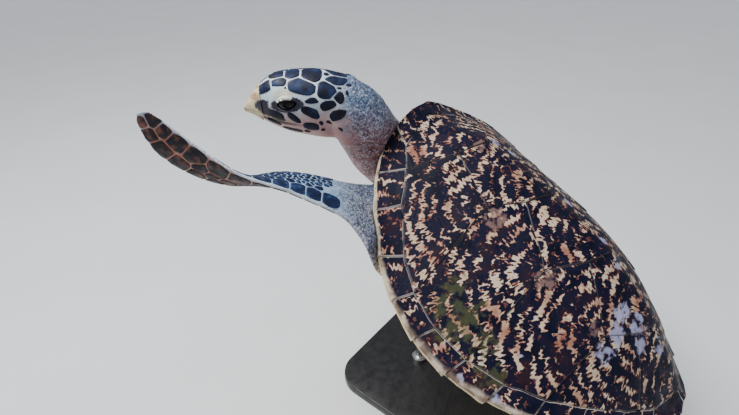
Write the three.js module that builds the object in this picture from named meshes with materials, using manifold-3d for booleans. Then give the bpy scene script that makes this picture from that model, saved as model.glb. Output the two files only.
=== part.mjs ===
// Hawksbill sea turtle, a life-size still model of a subadult on a plain display stand.
// Millimetres, +Z up. The origin is the middle of the underside of the stand's base. The turtle
// heads along -Y with its left side towards +X, and swims with its nose up.
import * as THREE from 'three';
import Module from 'manifold-3d';

const wasm = await Module();
wasm.setup();

// ---------------------------------------------------------------- driving dimensions
const SHELL_LENGTH = 640; // straight length of the carapace, from which the body is scaled
const NOSE_UP = THREE.MathUtils.degToRad(32); // how far the swimming body is pitched up
const SHELL_CENTRE = new THREE.Vector3(0, 70, 415); // middle of the carapace, above the base
const GAP = 0.3; // play between two pieces that touch
const SCUTE_THICKNESS = 7; // carapace plates, keratin on bone
const MARGIN_THICKNESS = 9; // the same at the rim
const PLASTRON_THICKNESS = 7;

const BASE_LENGTH = 520;
const BASE_WIDTH = 320;
const BASE_HEIGHT = 20;
const BASE_CORNER = 60;
const ROD_RADIUS = 8;
const ROD_CUP_RADIUS = 21;
const ROD_COLLAR_RADIUS = 17;
const ROD_COLLAR_HEIGHT = 9;
const ROD_COLLAR_CHAMFER = 3;
const ROD_CUP_HEIGHT = 17; // below the plastron's middle line
const ROD_CUP_CONE = 17; // from the rod's radius out to the cup's
const ROD_CUP_SPARE = 20; // extra height, cut away where the cup takes the plastron's shape
const FRONT_ROD_Y = -130;
const REAR_ROD_Y = 130;

const HEAD_LENGTH = 156; // beak tip to the back of the crown
const HEAD_TURN = THREE.MathUtils.degToRad(41); // to the turtle's left, in plan
const HEAD_DIP = THREE.MathUtils.degToRad(3); // beak below the level
const HEAD_ROLL = THREE.MathUtils.degToRad(12); // crown leaning to the turtle's left
const HEAD_SEAT = [0.592, 0.211, 0.114]; // back of the crown, in shell lengths
const EYE_RADIUS = 16;
const EYE_SEAT = [84, 25, 17]; // forward, sideways, up from the back of the crown
const MOUTH_SLOPE = THREE.MathUtils.degToRad(6); // how the mouth line falls towards the hinge
const MOUTH_FRONT = -5; // height of the mouth line under the beak tip
const BEAK_LENGTH = 31; // horny sheath of the upper jaw, from the tip back
const LOWER_BEAK_LENGTH = 27;
const MOUTH_LENGTH = 62; // beak tip to the hinge, behind which the jaw is part of the head

// ---------------------------------------------------------------- colours
const COLOURS = {
  scute: '#2b2622',
  margin: '#3a3029',
  plastron: '#d9c48c',
  skin: '#7d7a78',
  headSkin: '#4a4748',
  beak: '#b9a06a',
  eye: '#0d0b0a',
  claw: '#8c7850',
  stand: '#1c1c1e',
  rod: '#9fa3a6',
};

function material(colour, roughness, metalness = 0) {
  return new THREE.MeshStandardMaterial({ color: colour, roughness, metalness });
}

// ---------------------------------------------------------------- small tools
// A smooth curve through [position, value] pairs, read at one position.
function smooth(knots, at) {
  const last = knots.length - 1;
  const x = THREE.MathUtils.clamp(at, knots[0][0], knots[last][0]);
  let i = 0;
  while (i < last - 1 && x > knots[i + 1][0]) i += 1;
  const slope = (k) => {
    const a = knots[Math.max(k - 1, 0)];
    const b = knots[Math.min(k + 1, last)];
    return (b[1] - a[1]) / (b[0] - a[0]);
  };
  const [x0, y0] = knots[i];
  const [x1, y1] = knots[i + 1];
  const h = x1 - x0;
  const t = (x - x0) / h;
  const straight = y0 * (1 + 2 * t) * (1 - t) ** 2 + y1 * t * t * (3 - 2 * t);
  return straight + h * t * (1 - t) * (slope(i) * (1 - t) - slope(i + 1) * t);
}

// A closed body through a row of rings, each the same number of points, with flat ends. The two
// halves of a ring are split along opposite diagonals, so that the top and bottom of a layer match.
function loft(rings) {
  const around = rings[0].length;
  const points = rings.flat();
  const faces = [];
  for (let i = 0; i < rings.length - 1; i += 1) {
    for (let j = 0; j < around; j += 1) {
      const a = i * around + j;
      const b = i * around + ((j + 1) % around);
      const upper = [a, b, b + around, a, b + around, a + around];
      const lower = [a, b, a + around, b, b + around, a + around];
      faces.push(...(j < around / 2 ? upper : lower));
    }
  }
  for (const [ring, turn] of [[0, 1], [rings.length - 1, -1]]) {
    const centre = new THREE.Vector3();
    rings[ring].forEach((p) => centre.addScaledVector(p, 1 / around));
    const hub = points.push(centre) - 1;
    for (let j = 0; j < around; j += 1) {
      const a = ring * around + j;
      const b = ring * around + ((j + 1) % around);
      faces.push(...(turn > 0 ? [hub, b, a] : [hub, a, b]));
    }
  }
  const geometry = new THREE.BufferGeometry().setFromPoints(points);
  geometry.setIndex(signedVolume(points, faces) < 0 ? faces.reverse() : faces);
  return geometry;
}

function signedVolume(points, faces) {
  let sum = 0;
  for (let i = 0; i < faces.length; i += 3) {
    const [a, b, c] = [faces[i], faces[i + 1], faces[i + 2]].map((k) => points[k]);
    sum += a.dot(new THREE.Vector3().crossVectors(b, c));
  }
  return sum;
}

function solid(geometry) {
  const vertProperties = new Float32Array(geometry.attributes.position.array);
  const triVerts = new Uint32Array(geometry.index.array);
  const mesh = new wasm.Mesh({ numProp: 3, vertProperties, triVerts });
  mesh.merge();
  return new wasm.Manifold(mesh);
}

function unpack(manifold) {
  const { vertProperties, triVerts } = manifold.getMesh();
  const geometry = new THREE.BufferGeometry();
  geometry.setAttribute('position', new THREE.BufferAttribute(vertProperties, 3));
  geometry.setIndex(new THREE.BufferAttribute(triVerts, 1));
  return geometry;
}

function biggest(manifold) {
  const pieces = manifold.decompose();
  return pieces.reduce((best, piece) => (piece.volume() > best.volume() ? piece : best));
}

function bare(geometry) {
  geometry.deleteAttribute('normal');
  geometry.deleteAttribute('uv');
  return geometry.index ? geometry : indexed(geometry);
}

function indexed(geometry) {
  geometry.setIndex([...Array(geometry.attributes.position.count).keys()]);
  return geometry;
}

const shellPoint = (x, y, z) => new THREE.Vector3(x, y, z).multiplyScalar(SHELL_LENGTH);

// ---------------------------------------------------------------- shell surface
// The outline is a row of sine waves in the angle u, with x = half a length times cos u.
const OUTLINE_WAVES = [0.397, 0.038, -0.027, 0.009];
const KEEL_HEIGHT = [
  [-0.5, 0.03], [-0.46, 0.044], [-0.31, 0.125], [-0.11, 0.182],
  [0.1, 0.181], [0.31, 0.157], [0.43, 0.105], [0.5, 0.104],
];
const RIM_HEIGHT = [
  [-0.5, 0.03], [-0.3, 0.011], [0, -0.027], [0.2, -0.016],
  [0.36, 0.034], [0.44, 0.056], [0.48, 0.08], [0.5, 0.108],
];
const BELLY_HEIGHT = [
  [-0.46, -0.02], [-0.4, -0.05], [-0.25, -0.092], [0, -0.122],
  [0.2, -0.122], [0.34, -0.094], [0.42, -0.055], [0.46, -0.02],
];
const RIM_FLARE = 1.04; // how far the plates may stand out past the smooth outline
const DOME_SHOULDER = 1.47; // higher carries the flat top of the dome further out
const DOME_SKIRT = 1.19; // higher lets the dome meet its rim more gently
const ROOM_HEIGHT = 0.4; // taller than the shell, for the bodies that cut it
const PRISM_FOOT = -0.1; // below the lowest rim

function halfWidth(x) {
  const u = Math.acos(THREE.MathUtils.clamp(2 * x, -1, 1));
  return OUTLINE_WAVES.reduce((sum, wave, k) => sum + wave * Math.sin((k + 1) * u), 0);
}

// Height of the carapace at x, and at a share v of the half width.
function domeHeight(x, v) {
  const rim = smooth(RIM_HEIGHT, x);
  const rise = smooth(KEEL_HEIGHT, x) - rim;
  return rim + rise * (1 - Math.min(Math.abs(v), 1) ** DOME_SHOULDER) ** DOME_SKIRT;
}

function plateThickness(v) {
  const rimward = THREE.MathUtils.smoothstep(Math.abs(v), 0.8, 1);
  return THREE.MathUtils.lerp(SCUTE_THICKNESS, MARGIN_THICKNESS, rimward) / SHELL_LENGTH;
}

// Every plate and the soft body are read on the same grid, so that they lie parallel.
const FLESH_ACROSS = [-0.915, -0.75, -0.52, -0.26, 0, 0.26, 0.52, 0.75, 0.915];
const PLATE_ACROSS = [-RIM_FLARE, ...FLESH_ACROSS, RIM_FLARE];
const STATIONS_ALONG = 18;

const BLUNT_END = 0.07; // angle left off at each end of the outline, which is blunt there

function stationAt(i) {
  return 0.5 * Math.cos(BLUNT_END + ((Math.PI - 2 * BLUNT_END) * i) / STATIONS_ALONG);
}

// A closed layer between two heights above the plan, each a function of x and v. It can reach
// further outward at its sides and ends.
function layer(first, last, shares, top, bottom, outward = 0) {
  const rings = [];
  for (let i = first; i <= last; i += 1) {
    const x = stationAt(i);
    const along = x + (i === first ? outward : 0) - (i === last ? outward : 0);
    const edge = (v) => v * halfWidth(x) + Math.sign(v) * outward;
    const upper = shares.map((v) => shellPoint(along, edge(v), top(x, v)));
    const lower = shares.map((v) => shellPoint(along, edge(v), bottom(x, v)));
    rings.push([...upper, ...lower.reverse()]);
  }
  return solid(loft(rings));
}

// The whole carapace as one bowl.
function carapacePlate() {
  const bottom = (x, v) => domeHeight(x, v) - plateThickness(v);
  return layer(0, STATIONS_ALONG, PLATE_ACROSS, domeHeight, bottom);
}

// The carapace with play round it, and all the space above it, which no soft part enters.
function carapaceRoom() {
  const spare = GAP / SHELL_LENGTH;
  const bottom = (x, v) => domeHeight(x, v) - plateThickness(v) - spare;
  return layer(0, STATIONS_ALONG, PLATE_ACROSS, () => ROOM_HEIGHT, bottom, spare);
}

// ---------------------------------------------------------------- soft body inside the shell
const FLESH_REACH = FLESH_ACROSS.at(-1); // share of the half width that the soft body fills
const EDGE_DEPTH = 6; // thickness of the soft body where it meets the rim
const BELLY_CURVE = 3; // higher is flatter in the middle
const FIRST_FLESH = 3; // stations between which the soft body lies
const LAST_FLESH = STATIONS_ALONG - 3;

function fleshTop(x, v) {
  return domeHeight(x, v) - plateThickness(v) - GAP / SHELL_LENGTH;
}

function bellyHeight(x, v) {
  const edge = fleshTop(x, FLESH_REACH) - EDGE_DEPTH / SHELL_LENGTH;
  const keel = smooth(BELLY_HEIGHT, x);
  return keel + (edge - keel) * (Math.abs(v) / FLESH_REACH) ** BELLY_CURVE;
}

function trunkBody(grow = 0) {
  const spare = grow / SHELL_LENGTH;
  const top = (x, v) => fleshTop(x, v) + spare;
  const bottom = (x, v) => bellyHeight(x, v) - spare;
  return layer(FIRST_FLESH, LAST_FLESH, FLESH_ACROSS, top, bottom, spare);
}

// Share of the half width that the plastron covers: narrow in front and behind, out to the
// marginal plates along the bridge.
const PLASTRON_REACH = [
  [-0.4, 0.25], [-0.34, 0.5], [-0.26, 0.62], [-0.17, 0.88], [0, 0.96],
  [0.14, 0.92], [0.24, 0.72], [0.32, 0.6], [0.385, 0.36],
];

function bellyPlate(grow = 0) {
  const spare = grow / SHELL_LENGTH;
  const top = (x, v) => bellyHeight(x, v) - GAP / SHELL_LENGTH + spare;
  const bottom = (x, v) => bellyHeight(x, v) - (GAP + PLASTRON_THICKNESS) / SHELL_LENGTH - spare;
  return layer(FIRST_FLESH, LAST_FLESH, FLESH_ACROSS, top, bottom, spare);
}

function plastronOutline() {
  const half = [];
  const [front, rear] = [PLASTRON_REACH.at(-1)[0], PLASTRON_REACH[0][0]];
  for (let i = 0; i <= 12; i += 1) {
    const x = THREE.MathUtils.lerp(front, rear, i / 12);
    half.push(inPlan([x, smooth(PLASTRON_REACH, x) * FLESH_REACH]));
  }
  return [...half, ...mirrored(half)];
}

// ---------------------------------------------------------------- scutes, in plan
// Corners are [x, share of the half width] on the left side.
const INNER_MARGIN = [
  [0.425, 0.57], [0.375, 0.66], [0.315, 0.78], [0.225, 0.86], [0.15, 0.89], [0.065, 0.9],
  [-0.025, 0.9], [-0.115, 0.895], [-0.2, 0.88], [-0.28, 0.85], [-0.355, 0.8], [-0.415, 0.68],
];
const RIM_X = [0.486, 0.415, 0.345, 0.26, 0.17, 0.08, -0.015, -0.11, -0.205, -0.295, -0.375, -0.44];
const KEEL_TIPS = [0.468, 0.3, 0.1, -0.09, -0.285, -0.452]; // free tips of the plates on the keel
const WAISTS = [[0.32, 0.23], [0.125, 0.15], [-0.068, 0.15], [-0.262, 0.2]];
const APEXES = [[0.18, 0.34], [-0.01, 0.36], [-0.2, 0.4]];
const LAST_COSTAL = [-0.383, 0.745];

// How far the rim of each marginal is cut in at its front corner, as a share of its width: the
// rear ones are saw-toothed.
const NOTCH = [0, 0, 0.02, 0.05, 0.08, 0.1, 0.14, 0.2, 0.27, 0.33, 0.36, 0.36];

const inPlan = ([x, v]) => new THREE.Vector2(x, v * halfWidth(x)).multiplyScalar(SHELL_LENGTH);
const mirrored = (points) => points.map((p) => new THREE.Vector2(p.x, -p.y)).reverse();

const vertebrals = [
  [[KEEL_TIPS[0], 0], INNER_MARGIN[0], INNER_MARGIN[1], WAISTS[0], [KEEL_TIPS[1], 0]],
  [[KEEL_TIPS[1], 0], WAISTS[0], APEXES[0], WAISTS[1], [KEEL_TIPS[2], 0]],
  [[KEEL_TIPS[2], 0], WAISTS[1], APEXES[1], WAISTS[2], [KEEL_TIPS[3], 0]],
  [[KEEL_TIPS[3], 0], WAISTS[2], APEXES[2], WAISTS[3], [KEEL_TIPS[4], 0]],
  [[KEEL_TIPS[4], 0], WAISTS[3], LAST_COSTAL, INNER_MARGIN[11], [KEEL_TIPS[5], 0]],
].map((corners) => corners.map(inPlan));

const costals = [
  [WAISTS[0], ...INNER_MARGIN.slice(1, 5), APEXES[0]],
  [APEXES[0], ...INNER_MARGIN.slice(4, 7), APEXES[1], WAISTS[1]],
  [APEXES[1], ...INNER_MARGIN.slice(6, 9), APEXES[2], WAISTS[2]],
  [APEXES[2], ...INNER_MARGIN.slice(8, 11), LAST_COSTAL, WAISTS[3]],
].map((corners) => corners.map(inPlan));

// A place on the rim; towards the rear the saw teeth reach further out.
function rimPoint(x, k) {
  return inPlan([x, 1 + (RIM_FLARE - 1) * (NOTCH[k] / NOTCH.at(-1))]);
}

// A marginal plate: its rim runs from the notched front corner to the full rear corner.
function marginal(k) {
  const inner = [INNER_MARGIN[k], INNER_MARGIN[k + 1]].map(inPlan);
  const front = inner[0].clone().lerp(rimPoint(RIM_X[k], k), 1 - NOTCH[k]);
  const rear = rimPoint(RIM_X[k + 1], k + 1);
  const between = [1 / 3, 2 / 3].map((t) => {
    const rim = rimPoint(THREE.MathUtils.lerp(RIM_X[k], RIM_X[k + 1], t), k);
    return rim.lerp(inner[0].clone().lerp(inner[1], t), NOTCH[k] * (1 - t));
  });
  return [inner[0], front, ...between, rear, inner[1]];
}

function supracaudal() {
  const inner = inPlan(INNER_MARGIN[11]);
  const front = inner.clone().lerp(rimPoint(RIM_X[11], 11), 1 - NOTCH[11]);
  const rim = [[-0.465, 0.98], [-0.483, RIM_FLARE], [-0.4925, 0.8], [-0.486, 0], [KEEL_TIPS[5], 0]];
  return [inner, front, ...rim.map(inPlan)];
}

function nuchal() {
  const rim = [[0.52, 0], [0.499, 2], [0.495, 1]].map(inPlan);
  return [...rim, rimPoint(RIM_X[0], 0), inPlan(INNER_MARGIN[0]), inPlan([KEEL_TIPS[0], 0])];
}

// A plate on the keel, from its left half.
const bothSides = (half) => [...half, ...mirrored(half.slice(1, -1))];

// A plan outline drawn in by half a gap on every side.
function drawnIn(points, distance) {
  const clockwise = THREE.ShapeUtils.isClockWise(points);
  const loop = clockwise ? [...points].reverse() : points;
  return loop.map((corner, i) => {
    const before = loop[(i + loop.length - 1) % loop.length];
    const after = loop[(i + 1) % loop.length];
    const inward = (a, b) => new THREE.Vector2(a.y - b.y, b.x - a.x).normalize();
    const n1 = inward(before, corner);
    const n2 = inward(corner, after);
    const shift = n1.clone().add(n2);
    return corner.clone().addScaledVector(shift, distance / Math.max(0.4, 1 + n1.dot(n2)));
  });
}

function scutePrism(outline, inset = GAP / 2) {
  const shape = new THREE.Shape(drawnIn(outline, inset));
  const height = ROOM_HEIGHT * SHELL_LENGTH;
  const prism = new THREE.ExtrudeGeometry(shape, { depth: height, bevelEnabled: false });
  prism.translate(0, 0, PRISM_FOOT * SHELL_LENGTH);
  return solid(bare(prism));
}

// ---------------------------------------------------------------- limbs, neck and tail
// Knots are [share of the length, value in shell lengths, or degrees].
const FRONT_CHORD = [
  [0, 0.3], [0.14, 0.3], [0.23, 0.215], [0.31, 0.158], [0.5, 0.132], [0.68, 0.115],
  [0.8, 0.1], [0.89, 0.082], [0.95, 0.058], [0.985, 0.034], [1, 0.012],
];
const FRONT_THICKNESS = [
  [0, 0.1], [0.15, 0.075], [0.3, 0.048], [0.5, 0.033], [0.7, 0.026], [0.88, 0.018], [1, 0.008],
];
const HIND_CHORD = [
  [0, 0.13], [0.25, 0.12], [0.5, 0.125], [0.75, 0.15], [0.9, 0.125], [0.97, 0.075], [1, 0.02],
];
const HIND_THICKNESS = [[0, 0.08], [0.3, 0.05], [0.6, 0.028], [1, 0.01]];

const LIMBS = {
  front_flipper_left: {
    side: 1,
    path: [
      [0.25, 0.21, -0.04], [0.33, 0.28, -0.02], [0.412, 0.338, 0.005], [0.514, 0.428, 0.01],
      [0.588, 0.527, 0.003], [0.684, 0.6, 0.038], [0.754, 0.634, 0.088],
    ],
    roll: [[0, 4], [0.15, 12], [0.3, 20], [0.5, 33], [0.66, 62], [0.8, 86], [0.9, 101], [1, 108]],
    chord: FRONT_CHORD,
    thickness: FRONT_THICKNESS,
  },
  front_flipper_right: {
    side: -1,
    path: [
      [0.27, -0.2, -0.04], [0.325, -0.285, -0.055], [0.325, -0.365, -0.085], [0.262, -0.465, -0.15],
      [0.155, -0.54, -0.21], [0.045, -0.595, -0.262], [-0.05, -0.63, -0.3],
    ],
    roll: [[0, -4], [0.15, -2], [0.3, 4], [0.6, 18], [1, 26]],
    chord: FRONT_CHORD,
    thickness: FRONT_THICKNESS,
  },
  hind_flipper_left: {
    side: 1,
    path: [[-0.27, 0.15, -0.055], [-0.38, 0.24, -0.062], [-0.48, 0.295, -0.09], [-0.6, 0.325, -0.14]],
    roll: [[0, 0], [1, -12]],
    chord: HIND_CHORD,
    thickness: HIND_THICKNESS,
  },
  hind_flipper_right: {
    side: -1,
    path: [[-0.27, -0.15, -0.06], [-0.37, -0.225, -0.09], [-0.46, -0.26, -0.145], [-0.55, -0.265, -0.225]],
    roll: [[0, 0], [1, 10]],
    chord: HIND_CHORD,
    thickness: HIND_THICKNESS,
  },
};
const LIMB_STATIONS = 11;
const LIMB_AROUND = 10;
const TIP_CROWDING = 1.1; // above 1 the stations stand a little wider near the root
const TRAILING_TAPER = 0.3; // share of its thickness that a limb loses at the trailing edge

// A flat limb: thick along its leading edge and thin along its trailing edge, turned about its
// length by the roll.
function limbFrame(limb, share) {
  const curve = new THREE.CatmullRomCurve3(limb.path.map((p) => shellPoint(...p)), false, 'centripetal');
  const centre = curve.getPointAt(share);
  const along = curve.getTangentAt(share);
  const flat = new THREE.Vector3(-along.y, along.x, 0).multiplyScalar(limb.side).normalize();
  const raised = new THREE.Vector3().crossVectors(along, flat).multiplyScalar(limb.side);
  const angle = THREE.MathUtils.degToRad(smooth(limb.roll, share));
  const trailing = flat.clone().multiplyScalar(Math.cos(angle)).addScaledVector(raised, Math.sin(angle));
  const upper = new THREE.Vector3().crossVectors(along, trailing).multiplyScalar(limb.side);
  return { centre, along, trailing, upper };
}

function limbBody(limb, grow = 0) {
  const rings = [];
  for (let i = 0; i <= LIMB_STATIONS; i += 1) {
    const share = Math.sin((Math.PI / 2) * (i / LIMB_STATIONS)) ** TIP_CROWDING;
    const { centre, trailing, upper } = limbFrame(limb, share);
    const chord = smooth(limb.chord, share) * SHELL_LENGTH + 2 * grow;
    const thickness = smooth(limb.thickness, share) * SHELL_LENGTH + 2 * grow;
    const ring = [];
    for (let j = 0; j < LIMB_AROUND; j += 1) {
      const turn = (2 * Math.PI * j) / LIMB_AROUND;
      const towardsTrailing = Math.cos(turn);
      const taper = 1 - TRAILING_TAPER * (towardsTrailing + 1) / 2;
      const point = centre.clone().addScaledVector(trailing, (chord / 2) * towardsTrailing);
      ring.push(point.addScaledVector(upper, (thickness / 2) * Math.sin(turn) * taper));
    }
    rings.push(ring);
  }
  return solid(loft(rings));
}

// Claws stand on the leading edge: the first at the wrist, the second further out.
const CLAW_LENGTH = 15;
const CLAW_RADIUS = 5;
const CLAW_TIP_RADIUS = 0.8;
const CLAW_SEAT = 0.44; // from the middle of the limb, as a share of its chord
const CLAW_LEAN = 0.9; // how far a claw leans towards the tip of the limb
const CLAW_SHARES = { front: [0.56, 0.66], hind: [0.74, 0.86] };

function clawBody(limb, share) {
  const { centre, along, trailing } = limbFrame(limb, share);
  const root = centre.addScaledVector(trailing, -CLAW_SEAT * smooth(limb.chord, share) * SHELL_LENGTH);
  const out = trailing.clone().negate().addScaledVector(along, CLAW_LEAN).normalize();
  const cone = new THREE.CylinderGeometry(CLAW_TIP_RADIUS, CLAW_RADIUS, CLAW_LENGTH, 8);
  cone.translate(0, CLAW_LENGTH / 2, 0);
  cone.applyQuaternion(new THREE.Quaternion().setFromUnitVectors(new THREE.Vector3(0, 1, 0), out));
  cone.translate(root.x, root.y, root.z);
  return solid(bare(cone));
}

// A round body along a path, with its radius given by knots.
function roundBody(path, radius, grow, flatten, around, steps) {
  const curve = new THREE.CatmullRomCurve3(path.map((p) => shellPoint(...p)), false, 'centripetal');
  const rings = [];
  for (let i = 0; i <= steps; i += 1) {
    const centre = curve.getPointAt(i / steps);
    const along = curve.getTangentAt(i / steps);
    const across = new THREE.Vector3(-along.y, along.x, 0).normalize();
    const up = new THREE.Vector3().crossVectors(along, across);
    const size = smooth(radius, i / steps) * SHELL_LENGTH + grow;
    rings.push([...Array(around).keys()].map((j) => {
      const turn = (2 * Math.PI * j) / around;
      const point = centre.clone().addScaledVector(across, size * Math.cos(turn));
      return point.addScaledVector(up, size * flatten * Math.sin(turn));
    }));
  }
  return solid(loft(rings));
}

const NECK_PATH = [
  [0.33, 0, 0], [0.41, 0.05, -0.03], [0.478, 0.105, -0.008],
  [0.516, 0.15, 0.037], [0.556, 0.19, 0.084], [0.61, 0.228, 0.1],
];
const NECK_RADIUS = [[0, 0.08], [0.25, 0.095], [0.45, 0.09], [0.65, 0.08], [0.84, 0.076], [1, 0.07]];
const NECK_AROUND = 13;
const NECK_STEPS = 8;
const neckBody = (grow) => roundBody(NECK_PATH, NECK_RADIUS, grow, 1, NECK_AROUND, NECK_STEPS);

const TAIL_PATH = [[-0.4, 0, -0.03], [-0.47, 0, -0.035], [-0.53, 0, -0.05], [-0.57, 0, -0.068]];
const TAIL_RADIUS = [[0, 0.05], [0.4, 0.036], [0.8, 0.018], [1, 0.005]];
const TAIL_FLATNESS = 0.85; // height of the tail as a share of its width
const TAIL_AROUND = 10;
const TAIL_STEPS = 7;
const tailBody = () => roundBody(TAIL_PATH, TAIL_RADIUS, 0, TAIL_FLATNESS, TAIL_AROUND, TAIL_STEPS);

// ---------------------------------------------------------------- head
// Sections from the back of the crown to the beak tip: [share, half width, top, bottom] in mm.
const HEAD_SECTIONS = [
  [-0.1, 33, 33, -58], [0.04, 38, 38, -62], [0.14, 41, 43, -62], [0.26, 43, 47.5, -58.5],
  [0.4, 42.5, 49.5, -51.5], [0.54, 39, 50, -44.5], [0.66, 32.5, 48.5, -36.5], [0.76, 25, 40, -28.5],
  [0.85, 18, 30, -20.5], [0.92, 11.5, 16, -12.5], [0.975, 6, 7, -9], [1, 3, 1.5, -8],
];
const HEAD_AROUND = 18;
const HEAD_SQUARENESS = 0.86; // below 1 the sections bulge towards a rounded box

function headBody(grow = 0) {
  const rings = HEAD_SECTIONS.map(([share, wide, top, bottom], index) => {
    const end = index === 0 ? -grow : index === HEAD_SECTIONS.length - 1 ? grow : 0;
    return [...Array(HEAD_AROUND).keys()].map((j) => {
      const turn = (2 * Math.PI * j) / HEAD_AROUND;
      const round = (value) => Math.sign(value) * Math.abs(value) ** HEAD_SQUARENESS;
      const height = Math.sin(turn) > 0 ? top + grow : -bottom + grow;
      const y = (wide + grow) * round(Math.cos(turn));
      return new THREE.Vector3(share * HEAD_LENGTH + end, y, height * round(Math.sin(turn)));
    });
  });
  return solid(loft(rings));
}

// Head axes seen from the body: near level with the floor, turned and rolled to the left.
function headPlace() {
  const toBody = new THREE.Quaternion().setFromEuler(new THREE.Euler(-NOSE_UP, 0, -Math.PI / 2)).invert();
  const forward = new THREE.Vector3(
    Math.sin(HEAD_TURN) * Math.cos(HEAD_DIP),
    -Math.cos(HEAD_TURN) * Math.cos(HEAD_DIP),
    -Math.sin(HEAD_DIP),
  ).applyQuaternion(toBody);
  const worldUp = new THREE.Vector3(0, 0, 1).applyQuaternion(toBody);
  const left = new THREE.Vector3().crossVectors(worldUp, forward).normalize();
  const up = new THREE.Vector3().crossVectors(forward, left).applyAxisAngle(forward, -HEAD_ROLL);
  left.applyAxisAngle(forward, -HEAD_ROLL);
  return new THREE.Matrix4().makeBasis(forward, left, up).setPosition(shellPoint(...HEAD_SEAT));
}

function ball(radius, centre) {
  const sphere = new THREE.IcosahedronGeometry(radius, 2);
  sphere.translate(...centre);
  return solid(bare(sphere));
}

function block(low, high) {
  const size = high.map((value, axis) => value - low[axis]);
  const box = new THREE.BoxGeometry(...size);
  box.translate(...low.map((value, axis) => value + size[axis] / 2));
  return solid(bare(box));
}

// Everything below the mouth line, as a block that slopes with it. Its top drops by `drop`.
function underMouth(drop) {
  const box = new THREE.BoxGeometry(2 * HEAD_LENGTH, HEAD_LENGTH, HEAD_LENGTH);
  box.translate(-HEAD_LENGTH, 0, -HEAD_LENGTH / 2 - drop);
  box.rotateY(-MOUTH_SLOPE);
  const past = 20; // the block starts ahead of the beak tip
  box.translate(HEAD_LENGTH + past, 0, MOUTH_FRONT + past * Math.tan(MOUTH_SLOPE));
  return solid(bare(box));
}

function headPieces() {
  const far = HEAD_LENGTH * 2;
  const whole = headBody();
  const hinge = HEAD_LENGTH - MOUTH_LENGTH;
  const ahead = (x) => block([x, -far, -far], [far, far, far]);
  const behind = (x) => block([-far, -far, -far], [x, far, far]);
  const jaw = whole.intersect(underMouth(GAP)).intersect(ahead(hinge + GAP));
  const skull = whole.subtract(underMouth(0).intersect(ahead(hinge)));
  const beakLine = HEAD_LENGTH - BEAK_LENGTH;
  const lowerBeakLine = HEAD_LENGTH - LOWER_BEAK_LENGTH;
  const eyes = [1, -1].map((side) => [EYE_SEAT[0], EYE_SEAT[1] * side, EYE_SEAT[2]]);
  let cranium = skull.intersect(behind(beakLine));
  eyes.forEach((centre) => {
    cranium = cranium.subtract(ball(EYE_RADIUS + GAP, centre));
  });
  return {
    head: cranium,
    beak_upper: skull.intersect(ahead(beakLine + GAP)),
    jaw: jaw.intersect(behind(lowerBeakLine)),
    beak_lower: jaw.intersect(ahead(lowerBeakLine + GAP)),
    eye_left: ball(EYE_RADIUS, eyes[0]),
    eye_right: ball(EYE_RADIUS, eyes[1]),
  };
}

// ---------------------------------------------------------------- putting the turtle together
const turtle = new THREE.Group();
turtle.rotation.set(-NOSE_UP, 0, -Math.PI / 2);
turtle.position.copy(SHELL_CENTRE);

function add(parent, name, manifold, look) {
  const mesh = new THREE.Mesh(unpack(manifold), look);
  mesh.name = name;
  parent.add(mesh);
}

const plate = carapacePlate();
const trunkRoom = trunkBody(GAP);
const plastronRoom = bellyPlate(GAP).intersect(scutePrism(plastronOutline(), -GAP));
const bodyRoom = trunkRoom.add(carapaceRoom()).add(plastronRoom);
const headAt = headPlace();
const placed = (manifold) => manifold.transform(headAt.elements);
const headRoom = placed(headBody(GAP));
const neckRoom = neckBody(GAP);

const scuteLook = material(COLOURS.scute, 0.45);
const marginLook = material(COLOURS.margin, 0.5);
const skinLook = material(COLOURS.skin, 0.7);
const clawLook = material(COLOURS.claw, 0.4);

function addScute(name, outline, look) {
  add(turtle, name, biggest(plate.intersect(scutePrism(outline))), look);
}

addScute('nuchal', bothSides(nuchal()), marginLook);
vertebrals.forEach((half, k) => addScute(`vertebral_${k + 1}`, bothSides(half), scuteLook));
for (const [side, turned] of [['left', (outline) => outline], ['right', mirrored]]) {
  costals.forEach((outline, k) => addScute(`costal_${side}_${k + 1}`, turned(outline), scuteLook));
  for (let k = 0; k < 11; k += 1) {
    addScute(`marginal_${side}_${k + 1}`, turned(marginal(k)), marginLook);
  }
  addScute(`supracaudal_${side}`, turned(supracaudal()), marginLook);
}

const plastron = bellyPlate().intersect(scutePrism(plastronOutline()));
add(turtle, 'plastron', plastron, material(COLOURS.plastron, 0.5));
add(turtle, 'trunk', trunkBody(), skinLook);

const neck = neckBody(0).subtract(bodyRoom).subtract(headRoom);
add(turtle, 'neck', biggest(neck), skinLook);

const headLook = material(COLOURS.headSkin, 0.6);
const beakLook = material(COLOURS.beak, 0.35);
const eyeLook = material(COLOURS.eye, 0.08);
const headLooks = { head: headLook, jaw: headLook, beak_upper: beakLook, beak_lower: beakLook };
for (const [name, manifold] of Object.entries(headPieces())) {
  add(turtle, name, biggest(placed(manifold)), headLooks[name] ?? eyeLook);
}

for (const [name, limb] of Object.entries(LIMBS)) {
  const shares = name.startsWith('front') ? CLAW_SHARES.front : CLAW_SHARES.hind;
  const free = limbBody(limb).subtract(bodyRoom).subtract(neckRoom);
  const clawed = biggest(free).add(clawBody(limb, shares[1]));
  add(turtle, name, clawed, skinLook);
  const claw = clawBody(limb, shares[0]).subtract(limbBody(limb, GAP));
  add(turtle, name.replace('flipper', 'claw'), biggest(claw), clawLook);
}
add(turtle, 'tail', biggest(tailBody().subtract(bodyRoom)), skinLook);

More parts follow.
